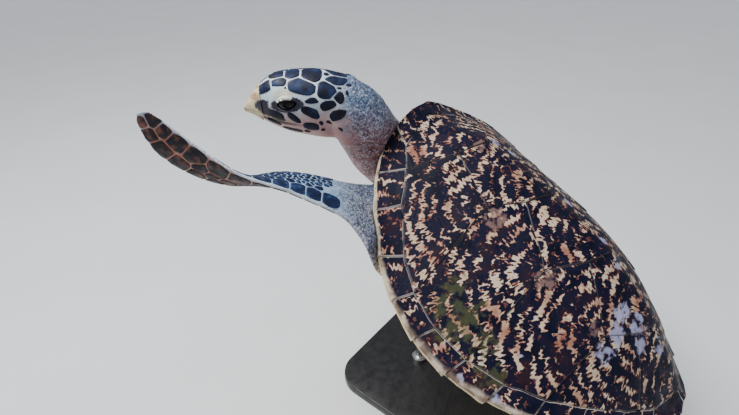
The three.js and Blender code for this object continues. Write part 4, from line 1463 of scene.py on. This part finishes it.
def rod(name, rod_y):
    mesh = bmesh.new()
    profile = rod_profile(under_belly(0, rod_y))
    line = [mesh.verts.new((radius, 0, height)) for radius, height in profile]
    for a, b in zip(line, line[1:]):
        mesh.edges.new((a, b))
    turned = built(name, mesh)
    edit(turned)
    bpy.ops.mesh.spin(steps=40, angle=2 * math.pi, center=(0, 0, 0), axis=(0, 0, 1))
    bpy.ops.mesh.remove_doubles(threshold=0.00001)
    bpy.ops.mesh.fill_holes(sides=0)
    bpy.ops.mesh.normals_make_consistent(inside=False)
    done()
    for vertex in turned.data.vertices:
        vertex.co.y += rod_y
        vertex.co.z = min(vertex.co.z, under_belly(vertex.co.x, vertex.co.y) - SEAT_GAP)
    shade_by_angle(turned, 30)
    return turned


rods = []
for node, rod_y in ROD_PLACES.items():
    rods.append(rod(node.replace("stand", "display"), rod_y))
    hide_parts(node)
print("rods reach", [round(under_belly(0, y), 3) for y in ROD_PLACES.values()])

# %% [markdown]
# ## Materials
# Every colour is worked out from the object's own coordinates or from what was written on it.
# Two small classes put the nodes together: what leaves a node is a wire, and arithmetic with
# wires adds the nodes for it. Colours are given as on a screen, from 0 to 255.

# %% A hand for the nodes
def rgb(*screen):
    """A screen colour, 0 to 255, as the light it stands for."""
    parts = (c / 255 for c in screen)
    return tuple(c / 12.92 if c < 0.04 else ((c + 0.055) / 1.055) ** 2.4 for c in parts) + (1.0,)


class Wire:
    """A number or colour on its way from one node to the next."""

    def __init__(self, paint, socket):
        self.paint, self.socket = paint, socket

    def __add__(self, other):
        return self.paint.maths("ADD", self, other)

    def __sub__(self, other):
        return self.paint.maths("SUBTRACT", self, other)

    def __rsub__(self, other):
        return self.paint.maths("SUBTRACT", other, self)

    def __mul__(self, other):
        return self.paint.maths("MULTIPLY", self, other)

    def __truediv__(self, other):
        return self.paint.maths("DIVIDE", self, other)

    def fade(self, low, high):
        """0 below low, 1 above high, and a soft step between."""
        values = {"Value": self, 1: low, 2: high}
        return self.paint.put("MapRange", values, interpolation_type="SMOOTHSTEP")


class Paint:
    """The nodes of one material, whose patterns lie in the object's own coordinates."""

    def __init__(self, name, rough, shader=()):
        self.material = bpy.data.materials.new(name)
        self.material.use_nodes = True
        self.tree = self.material.node_tree
        self.inputs = self.tree.nodes["Principled BSDF"].inputs
        for key, value in {"Roughness": rough, **dict(shader)}.items():
            self.inputs[key].default_value = value
        self.place = self.put("TexCoord", {}, "Object")

    def put(self, kind, values, out=0, **settings):
        node = self.tree.nodes.new("ShaderNode" + kind)
        for key, value in settings.items():
            setattr(node, key, value)
        for key, value in values.items():
            if isinstance(value, Wire):
                self.tree.links.new(value.socket, node.inputs[key])
            else:
                node.inputs[key].default_value = value
        return Wire(self, node.outputs[out])

    def maths(self, operation, a, b=0.0):
        return self.put("Math", {0: a, 1: b}, operation=operation)

    def written(self, name, out="Fac"):
        return self.put("Attribute", {}, out, attribute_name=name)

    def on_map(self, name):
        """A place on a UV map, and its distance from the middle of the map."""
        spot = self.put("UVMap", {}, uv_map=name)
        return spot, self.put("VectorMath", {0: spot}, "Value", operation="LENGTH")

    def parts(self, kind, whole):
        """The three parts of a vector or of a colour."""
        return [Wire(self, out) for out in self.put(kind, {0: whole}).socket.node.outputs]

    def stretched(self, scale_up):
        """The object's own coordinates, with finer patterns from floor to ceiling."""
        return self.put("Mapping", {0: self.place, "Scale": (1.0, 1.0, scale_up)})

    def noise(self, scale, detail=2.0, at=None):
        values = {"Vector": at or self.place, "Scale": scale, "Detail": detail}
        return self.put("TexNoise", values, "Fac")

    def waver(self, scale, size):
        """Noise round 0, up to half a size either way."""
        return (self.noise(scale) - 0.5) * size

    def cells(self, scale, out="Distance"):
        return self.put("TexVoronoi", {"Vector": self.place, "Scale": scale}, out)

    def mix(self, share, a, b, blend="MIX"):
        a, b = (rgb(*c) if isinstance(c, tuple) else c for c in (a, b))
        return self.put("Mix", {0: share, 6: a, 7: b}, 2, data_type="RGBA", blend_type=blend)

    def ramp(self, value, *stops):
        """Colours by value, each stop a position and its screen colour."""
        wire = self.put("ValToRGB", {"Fac": value})
        steps = wire.socket.node.color_ramp.elements
        for _ in stops[2:]:
            steps.new(0.5)
        for step, (position, *colour) in zip(steps, stops):
            step.position, step.color = position, rgb(*colour)
        return wire

    def finish(self, colour, height=None, strength=0.5, distance=0.001, rough=None):
        bump = None
        if height is not None:
            bump = self.put("Bump", {"Height": height, "Strength": strength, "Distance": distance})
        for key, wire in (("Base Color", colour), ("Roughness", rough), ("Normal", bump)):
            if wire is not None:
                self.tree.links.new(wire.socket, self.inputs[key])
        return self.material


# %% [markdown]
# ## Tortoiseshell
# Horn plates grow outward from one corner, and each season's growth takes up pigment in streaks.
# So the flames of cream and amber stand in bands round the growth centre, their teeth pointing
# along the growth. The map "Growth" gives every place its distance and bearing from that centre.

# %% The pattern of the plates
BANDS = 3.3  # bands of flames in a unit of the growth map
FLAME_LEVEL = 0.355  # how high a band's wave has to rise before it shows
BARE_CENTRE = 0.12  # the old horn at the growth centre has fewer flames
# The lavender look serves both the pale lavender crust and painted highlights along the keel.
CRUST_AND_GLINT_LOOKS = (  # green algae, brown film, pale lavender crust: colour and cover
    ((72, 78, 44), 0.5), ((126, 98, 92), 0.7), ((156, 156, 190), 0.85),
)


def zigzag(paint, away, bearing):
    """Bands round the growth centre, and a wave that follows their jagged combs, from 0 to 0.5."""
    bands = away * BANDS + paint.noise(14) * 2.0
    ring = (paint.maths("FLOOR", bands) - 0.6) / BANDS
    comb = paint.put("CombineXYZ", {"X": bearing * ring, "Y": ring * 9.0, "Z": 0.0})
    teeth = (paint.noise(17, 0.0, comb) - 0.5) * 0.95
    return bands, paint.maths("PINGPONG", bands + (teeth + paint.waver(95, 1.1)), 0.5)


def tortoiseshell(name, flames, pale_edge, pale_rim):
    paint = Paint(name, 0.4, {"Specular IOR Level": 0.16})
    spot, away = paint.on_map("Growth")
    along, across, _ = paint.parts("SeparateXYZ", spot)
    bands, level = zigzag(paint, away, paint.maths("ARCTAN2", across, along))
    bare = BARE_CENTRE - away.fade(0.1, 0.6) * BARE_CENTRE
    needed = (bare + (FLAME_LEVEL - flames)) - (paint.waver(48, 1.15) + paint.waver(230, 0.4))
    margin = (level - needed) * 2.2
    ground = paint.ramp(paint.noise(30, 4), (0.35, 4, 7, 26), (0.52, 11, 13, 38), (0.7, 34, 18, 30))
    warm = paint.ramp(
        paint.noise(24), (0.4, 194, 184, 164), (0.56, 184, 162, 138), (0.72, 142, 96, 80)
    )
    flame = paint.mix(margin.fade(0.1, 0.34), (110, 62, 50), warm)
    colour = paint.mix(margin.fade(0.0, 0.1), ground, flame)
    colour = paint.mix(paint.noise(130).fade(0.64, 0.7) * 0.45, colour, (130, 76, 66))
    # The third channel holds the pale lavender patches: crust, and painted highlights along the
    # keel.
    crusts_and_glints = paint.parts("SeparateColor", paint.written("crusts_and_glints", "Color"))
    grown = paint.noise(95, 6) + paint.noise(30, 3) * 0.5
    for crust_and_glint, (tint, cover) in zip(crusts_and_glints, CRUST_AND_GLINT_LOOKS):
        colour = paint.mix((grown + crust_and_glint * 0.42).fade(1.02, 1.2) * cover, colour, tint)
    edge, rim = paint.written("edge"), paint.written("rim")
    worn = edge.fade(0.5, 0.85) * paint.noise(45).fade(0.3, 0.5) * rim.fade(0.985, 0.955)
    colour = paint.mix(worn * pale_edge, colour, (196, 188, 184))
    if pale_rim:
        band = (rim + paint.noise(30) * 0.05).fade(1.0, 1.03)
        outer = paint.maths("MAXIMUM", band, edge.fade(0.4, 0.9) * rim.fade(0.95, 0.98))
        stained = paint.mix(paint.noise(48, 4).fade(0.36, 0.62), (104, 88, 76), (186, 174, 158))
        colour = paint.mix(outer, colour, stained)
    under = paint.mix(paint.noise(26, 3).fade(0.54, 0.6), (206, 184, 140), (70, 52, 44))
    colour = paint.mix(edge.fade(1.3, 1.7), colour, under)
    rings = paint.maths("SINE", bands * 22.0)
    height = rings * 0.16 + paint.noise(260, 4) + grown * (crusts_and_glints[1] + crusts_and_glints[2])
    rough = (paint.noise(40, 3) + grown * 0.3).fade(-0.1, 1.4)
    return paint.finish(colour, height, 0.35, 0.0007, rough)


# %% Crusts of algae where they have settled, and painted highlights along the keel
CRUSTS_AND_GLINTS = (  # green, brown and lavender: x and y in shell lengths, radius
    (
        (0.08, 0.34, 0.07), (0.03, 0.36, 0.07), (-0.03, 0.345, 0.065), (0.03, 0.305, 0.055),
        (0.1, 0.3, 0.045), (-0.09, 0.36, 0.05), (0.1, -0.32, 0.08), (-0.2, -0.3, 0.07),
    ), (
        (0.148, 0.142, 0.05), (-0.023, 0.16, 0.055), (0.3, 0.02, 0.04), (-0.174, 0.15, 0.035),
        (0.02, -0.2, 0.06),
    ), (
        # lavender: the spots along the keel's right side are painted highlights, the others are
        # crust
        (-0.195, 0.076, 0.045), (-0.25, 0.055, 0.05), (-0.285, 0.075, 0.04), (-0.228, 0.16, 0.05),
        (-0.222, 0.115, 0.04), (-0.325, 0.02, 0.04), (0.287, -0.055, 0.036), (0.24, -0.07, 0.03),
        (0.052, -0.057, 0.03), (-0.062, -0.02, 0.024), (-0.124, 0.0, 0.03), (-0.119, 0.262, 0.018),
        (-0.1, 0.3, 0.014), (-0.042, 0.416, 0.024), (-0.131, 0.395, 0.036), (-0.25, -0.15, 0.05),
    ),
)


def crust_and_glint_shares(body):
    """As red, green and blue: 1 in the middle of a patch of each kind, and 0 outside them all. The
    blue holds pale lavender growth, and painted highlights along the keel on the right side.
    """
    shares = []
    for patches in CRUSTS_AND_GLINTS:
        near = ((math.hypot(body.x - x, body.y - y), wide) for x, y, wide in patches)
        shares.append(max(1 - fade(away, 0.2 * wide, wide) for away, wide in near))
    return (*shares, 1.0)


for tile in scutes + rim_plates:
    write_on(tile, "crusts_and_glints", [crust_and_glint_shares(in_body(v.co)) for v in tile.data.vertices])


def dress(objects, material):
    for obj in objects:
        obj.data.materials.clear()
        obj.data.materials.append(material)
        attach(obj, "root")


scute_horn = tortoiseshell("scute_horn", flames=0.02, pale_edge=0.12, pale_rim=False)
margin_horn = tortoiseshell("margin_horn", flames=-0.03, pale_edge=0.9, pale_rim=True)
dress(scutes, scute_horn)
dress(rim_plates, margin_horn)
print(sum(len(patches) for patches in CRUSTS_AND_GLINTS), "crusts on the shell")

# %% [markdown]
# ## Skin
# The skin is pale between the scales of the head, grey-blue and granular on the neck, warm at the
# throat, and tan underneath. These broad colours are written on the vertices; the material adds
# the granules, each with a tone of its own, and the fine wrinkles.

# %% Broad colours of the head
TONES = {
    name: rgb(*screen)
    for name, screen in {
        "seam": (206, 222, 232), "cheek": (206, 168, 160), "throat": (170, 108, 104),
        "neck": (106, 132, 166), "web": (128, 138, 160), "upper": (150, 184, 216),
        "edge": (214, 226, 238), "lower": (164, 104, 76), "belly": (206, 184, 150),
        "horn": (186, 164, 134), "lid": (212, 216, 202), "dark": (26, 22, 46),
    }.items()
}
HEAD_PATCHES = (  # forward of the crown, turn round from the left, half sizes, tilt: mm and degrees
    (123, 16, 15, 13, 30), (106, -2, 18, 6.5, 20), (119, 4, 12, 8, 25),
)
EYE_SHADOW = (0.0275, 0.0122)  # half length and half height of the dark oval round the eye


def blend(a, b, share):
    return tuple(p + (q - p) * share for p, q in zip(a, b))


def within(value, low, low_end, high_start, high):
    """1 from low_end to high_start, and a soft step down to 0 at low and at high."""
    return fade(value, low, low_end) * (1 - fade(value, high_start, high))


def head_patch(head):
    """1 in the dark patches painted on the head, on either side."""
    wide, top, under = head_sizes(head.x / HEAD_LENGTH)
    height = top if head.z > 0 else -under
    cosine = min(abs(head.y) / max(wide, 0.002), 1.2) ** (1 / HEAD_SQUARENESS)
    sine = min(abs(head.z) / max(height, 0.002), 1.2) ** (1 / HEAD_SQUARENESS)
    turn = math.atan2(math.copysign(sine, head.z), cosine)
    mask = 0
    for forward, at, long_half, short_half, tilt in HEAD_PATCHES:
        du, dv = head.x * 1000 - forward, (turn - math.radians(at)) * ROUND_RADIUS * 1000
        c, s = math.cos(math.radians(tilt)), math.sin(math.radians(tilt))
        far = math.hypot((du * c + dv * s) / long_half, (dv * c - du * s) / short_half)
        mask = max(mask, 1 - fade(far + 0.25 * noise.noise(head * 260), 0.85, 1.05))
    return mask


def head_colour(head):
    colour = blend(TONES["cheek"], TONES["seam"], fade(head.z, -0.01, 0.02))
    throat = (1 - fade(head.z, -0.05, -0.012)) * (1 - fade(head.x, 0.03, 0.08))
    colour = blend(colour, TONES["throat"], throat)
    side = 0 if head.y > 0 else 1
    along, across, out = EYE_AXES[side]
    away = head - EYE_SEATS[side]
    a, b = away.dot(along), away.dot(across)
    outside = fade(away.dot(out), 0, 0.002)
    lid = 1 - fade(math.hypot((a - 0.004) / 1.45, b - 0.0115), 0.0085, 0.0118)
    lid *= fade(b + 0.3 * min(a, 0) - 0.08 * abs(a), 0.0028, 0.0045) * outside
    colour = blend(colour, TONES["lid"], lid)
    lip = head.z - mouth_height(head.x)
    forward = fade(head.x, MOUTH_END, 0.095)
    colour = blend(colour, TONES["horn"], forward * within(lip, -0.001, 0.0005, 0.004, 0.0065))
    # A dark line along the lower side of the mouth's crease: painted shade in the crease.
    colour = blend(colour, TONES["dark"], 0.8 * forward * within(lip, -0.0045, -0.003, -0.001, 0))
    far = math.hypot(a / EYE_SHADOW[0], (b + 0.001) / EYE_SHADOW[1])
    far += 0.12 * noise.noise(head * 300)
    shadow = (1 - fade(far, 0.88, 1.0)) * outside
    dark = max(head_patch(head) * fade(far, 1.04, 1.14), shadow)
    return blend(colour, TONES["dark"], dark * (1 - lid))


# %% Broad colours of the body
def limb_colour(body):
    """Colour of the skin of a flipper, and how far out along it the place lies."""
    name, share, across, raised = in_limb(body)
    out_along = fade(share, 0.24, 0.42)
    above = blend(TONES["web"], TONES["upper"], out_along)
    # Underneath, tan at the root and browner out along the blade; the darkening there is painted
    # shade.
    below = blend(TONES["belly"], TONES["lower"], out_along)
    soft = 0.003 + 0.03 * (1 - out_along)
    colour = blend(above, below, 1 - fade(raised, -1.7 * soft, 0.3 * soft))
    from_edge = (1 - across) * smooth(FLIPPERS[name]["chord"], share) / 2 * SHELL_LENGTH
    hem = (1 - fade(from_edge, 0.003, 0.0045)) * out_along
    return blend(colour, TONES["edge"], hem), out_along


def head_share(place, head):
    """1 on the head, and 0 from the neck on, with a ragged border."""
    ragged = 0.012 * noise.noise(place * 60)
    share = fade(head.x + 0.25 * abs(head.z - 0.02) + ragged, -0.004, 0.026)
    share *= 1 - fade(-head.z + ragged, 0.05, 0.078) * (1 - fade(head.x, 0.03, 0.06))
    return share * on_the_head(place, -0.04)


def skin_colour(place, normal):
    """Broad colour of the skin, and how strongly it is granular."""
    head, body = in_head(place), in_body(place)
    throat = fade(-head_axes[2].dot(normal), -0.7, 0.2)
    belly = (1 - fade(body.x, 0.36, 0.46)) * fade(-(BODY_AXES.transposed() @ normal).z, -0.2, 0.6)
    colour = blend(blend(TONES["neck"], TONES["throat"], throat), TONES["belly"], belly)
    limb_tone, out_along = limb_colour(body)
    hind = body.x < -0.3 and abs(body.y) > 0.1
    limb_share = 1 if hind else fade(abs(body.y), 0.2, 0.34)
    colour = blend(colour, limb_tone, limb_share)
    on_head_share = head_share(place, head)
    colour = blend(colour, head_colour(head), on_head_share)
    return colour, (1 - 0.85 * on_head_share) * (1 - 0.8 * out_along * limb_share)


colours, grains = zip(*(skin_colour(v.co, v.normal) for v in skin.data.vertices))
write_on(skin, "tint", colours)
write_on(skin, "grain", grains)


# %% The skin's own material
GRANULES = 420  # cells of the skin in a metre


def skin_finish():
    paint = Paint("turtle_skin", 0.55)
    base, grainy = paint.written("tint", "Color"), paint.written("grain")
    granule, own_colour = paint.cells(GRANULES), paint.cells(GRANULES, "Color")
    tone = paint.parts("SeparateColor", own_colour)[0] + paint.noise(60, 3)
    light, dark = tone.fade(1.15, 1.4) * grainy, tone.fade(0.85, 0.6) * grainy
    colour = paint.mix(light * 0.62, base, (208, 216, 230))
    deep = paint.mix(1.0, base, (84, 84, 112), "MULTIPLY")
    colour = paint.mix(dark * 0.85, colour, deep)
    colour = paint.mix(granule.fade(0.35, 0.75) * grainy * 0.5, colour, (40, 46, 66))
    mottle = paint.ramp(paint.noise(45, 5), (0.3, 215, 208, 208), (0.7, 255, 255, 255))
    colour = paint.mix(1.0, colour, mottle, "MULTIPLY")
    return paint.finish(colour, granule * grainy * -1.0 + paint.noise(420, 5), 0.5, 0.0009)


dress([skin], skin_finish())
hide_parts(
    "trunk", "neck", "head", "jaw", "tail", "front_flipper_left", "front_flipper_right",
    "hind_flipper_left", "hind_flipper_right",
)
print("skin painted")


# %% The horn of the scales
def scale_finish(name, dark, middle, light, sheen):
    """Dark horn: each scale has its own tone, lighter and worn at its edge."""
    paint = Paint(name, 0.42, {"Specular IOR Level": 0.25})
    # On the head the tone carries painted light: the crown's scales come out lighter and bluer.
    cloud = paint.noise(75, 4) + paint.written("tone") * 0.26
    colour = paint.ramp(cloud, (0.45, *dark), (0.68, *middle), (0.92, *light))
    rubbed = paint.written("edge") * paint.noise(190, 3).fade(0.42, 0.62)
    colour = paint.mix(rubbed * sheen, colour, light)
    height = paint.noise(320, 4) + paint.cells(120) * 0.6
    return paint.finish(colour, height, 0.3, 0.0006, paint.noise(90, 3).fade(-0.5, 1.3))


head_horn = scale_finish("head_horn", (7, 7, 19), (10, 18, 44), (26, 46, 82), 0.14)
upper_horn = scale_finish("flipper_horn_above", (9, 15, 36), (17, 34, 70), (66, 100, 142), 0.3)
# The horn under the flippers is browner and painted darker than above: the darkness is painted
# shade.
lower_horn = scale_finish("flipper_horn_below", (10, 9, 19), (22, 17, 28), (112, 70, 56), 0.2)
dress([head_scales], head_horn)
dress([tiles for tiles in flipper_scales if "upper" in tiles.name], upper_horn)
dress([tiles for tiles in flipper_scales if "lower" in tiles.name], lower_horn)


# %% Beak, claws and eyes
def beak_finish():
    paint = Paint("beak_horn", 0.34)
    layers = paint.stretched(3.2)
    streaks = paint.noise(70, 4, layers)
    colour = paint.ramp(streaks, (0.3, 150, 118, 88), (0.5, 198, 180, 138), (0.7, 216, 208, 176))
    brown = paint.noise(120, 3, layers).fade(0.58, 0.72) * 0.6
    colour = paint.mix(brown, colour, (92, 58, 48))
    # The dark patches of the head, and painted shade in the nostril pits.
    colour = paint.mix(paint.written("dark"), colour, (30, 26, 44))
    return paint.finish(colour, paint.noise(260, 4, layers), 0.25, 0.0005)


def claw_finish():
    paint = Paint("claw_horn", 0.36)
    colour = paint.ramp(paint.noise(160, 3), (0.35, 70, 52, 40), (0.65, 176, 150, 110))
    return paint.finish(colour, paint.noise(400, 3), 0.2, 0.0004)


def eye_finish():
    wet = {"Specular IOR Level": 0.16, "Coat Weight": 0.08, "Coat Roughness": 0.05}
    paint = Paint("eye_wet", 0.12, wet)
    spot, away = paint.on_map("Iris")
    fibres = paint.noise(14, 2, paint.put("VectorMath", {0: spot}, operation="NORMALIZE"))
    colour = paint.ramp(  # pupil, iris and the dark ball round it
        away + (fibres - 0.5) * 0.06, (0.0, 4, 4, 8), (0.27, 4, 4, 8), (0.31, 38, 25, 26),
        (0.46, 22, 16, 22), (0.52, 8, 7, 13), (1.0, 10, 9, 16),
    )
    return paint.finish(colour)


for horn in (beak_upper, beak_lower):
    # The dark attribute holds the dark patches of the head and painted shade in the nostril pits.
    places = [in_head(v.co) for v in horn.data.vertices]
    write_on(horn, "dark", [max(head_patch(p), nostril(p)) for p in places])
dress([beak_upper, beak_lower], beak_finish())
dress(claws, claw_finish())
dress(eyes, eye_finish())


# %% The lower shell and the stand
def belly_finish():
    paint = Paint("belly_horn", 0.45)
    _, away = paint.on_map("Growth")
    cloud = paint.noise(18, 4)
    colour = paint.ramp(cloud, (0.32, 206, 168, 104), (0.5, 222, 196, 142), (0.7, 232, 214, 176))
    blotch = (paint.noise(22, 3) + away * 0.06).fade(0.62, 0.72) * 0.75
    colour = paint.mix(blotch, colour, (74, 48, 38))
    colour = paint.mix(paint.written("edge").fade(0.2, 0.8), colour, (120, 88, 56))
    rings = paint.maths("SINE", away * 40.0)
    return paint.finish(colour, rings * 0.2 + paint.noise(160, 4), 0.3, 0.0008)


def base_finish():
    paint = Paint("base_lacquer", 0.3)
    colour = paint.ramp(paint.noise(200), (0.3, 20, 20, 22), (0.7, 30, 30, 32))
    return paint.finish(colour, paint.noise(700), 0.05, 0.0002, paint.noise(60, 3).fade(-0.6, 2.0))


def steel_finish():
    paint = Paint("brushed_steel", 0.28, {"Metallic": 1.0})
    lines = paint.noise(30, 3, paint.stretched(60.0))
    colour = paint.ramp(lines, (0.3, 168, 170, 172), (0.7, 206, 208, 210))
    return paint.finish(colour, lines, 0.08, 0.0002)


dress([lower_shell], belly_finish())
dress([base], base_finish())
dress(rods, steel_finish())
print("all pieces dressed")

# %% [markdown]
# ## The studio
# A pale floor, one soft light from the front and a broad, even light from above keep every colour
# its own.

# %% Floor, lights and world
KEY_PLACE, KEY_TARGET, KEY_SIZE, KEY_POWER = (0.9, -0.9, 2.6), (0, 0, 0.4), 1.2, 85
SKY_WIDTH, SKY_POWER = math.radians(50), 1.8
AIR_COLOUR, AIR_POWER = (0.85, 0.9, 1.0, 1), 0.34
bpy.ops.mesh.primitive_plane_add(size=60)
floor = bpy.context.object
floor.name = "studio_floor"
floor_paint = Paint("floor_paint", 0.8)
mottled = floor_paint.ramp(floor_paint.noise(3), (0.3, 214, 217, 220), (0.7, 218, 221, 224))
floor.data.materials.append(floor_paint.finish(mottled))


def add_light(name, kind):
    light = bpy.data.objects.new(name, bpy.data.lights.new(name, kind))
    bpy.context.collection.objects.link(light)
    return light


key = add_light("key", "AREA")
key.data.size, key.data.energy, key.data.color = KEY_SIZE, KEY_POWER, (1.0, 0.98, 0.95)
way = Vector(KEY_TARGET) - Vector(KEY_PLACE)
turned_down = way.to_track_quat("-Z", "Y").to_matrix().to_4x4()
key.matrix_world = Matrix.Translation(KEY_PLACE) @ turned_down
overhead = add_light("overhead", "SUN")
overhead.data.angle, overhead.data.energy = SKY_WIDTH, SKY_POWER
overhead.rotation_euler = (math.radians(14), math.radians(18), 0)
world = bpy.data.worlds.new("studio")
bpy.context.scene.world = world
world.use_nodes = True
background = world.node_tree.nodes["Background"].inputs
background[0].default_value, background[1].default_value = AIR_COLOUR, AIR_POWER
print("studio ready")
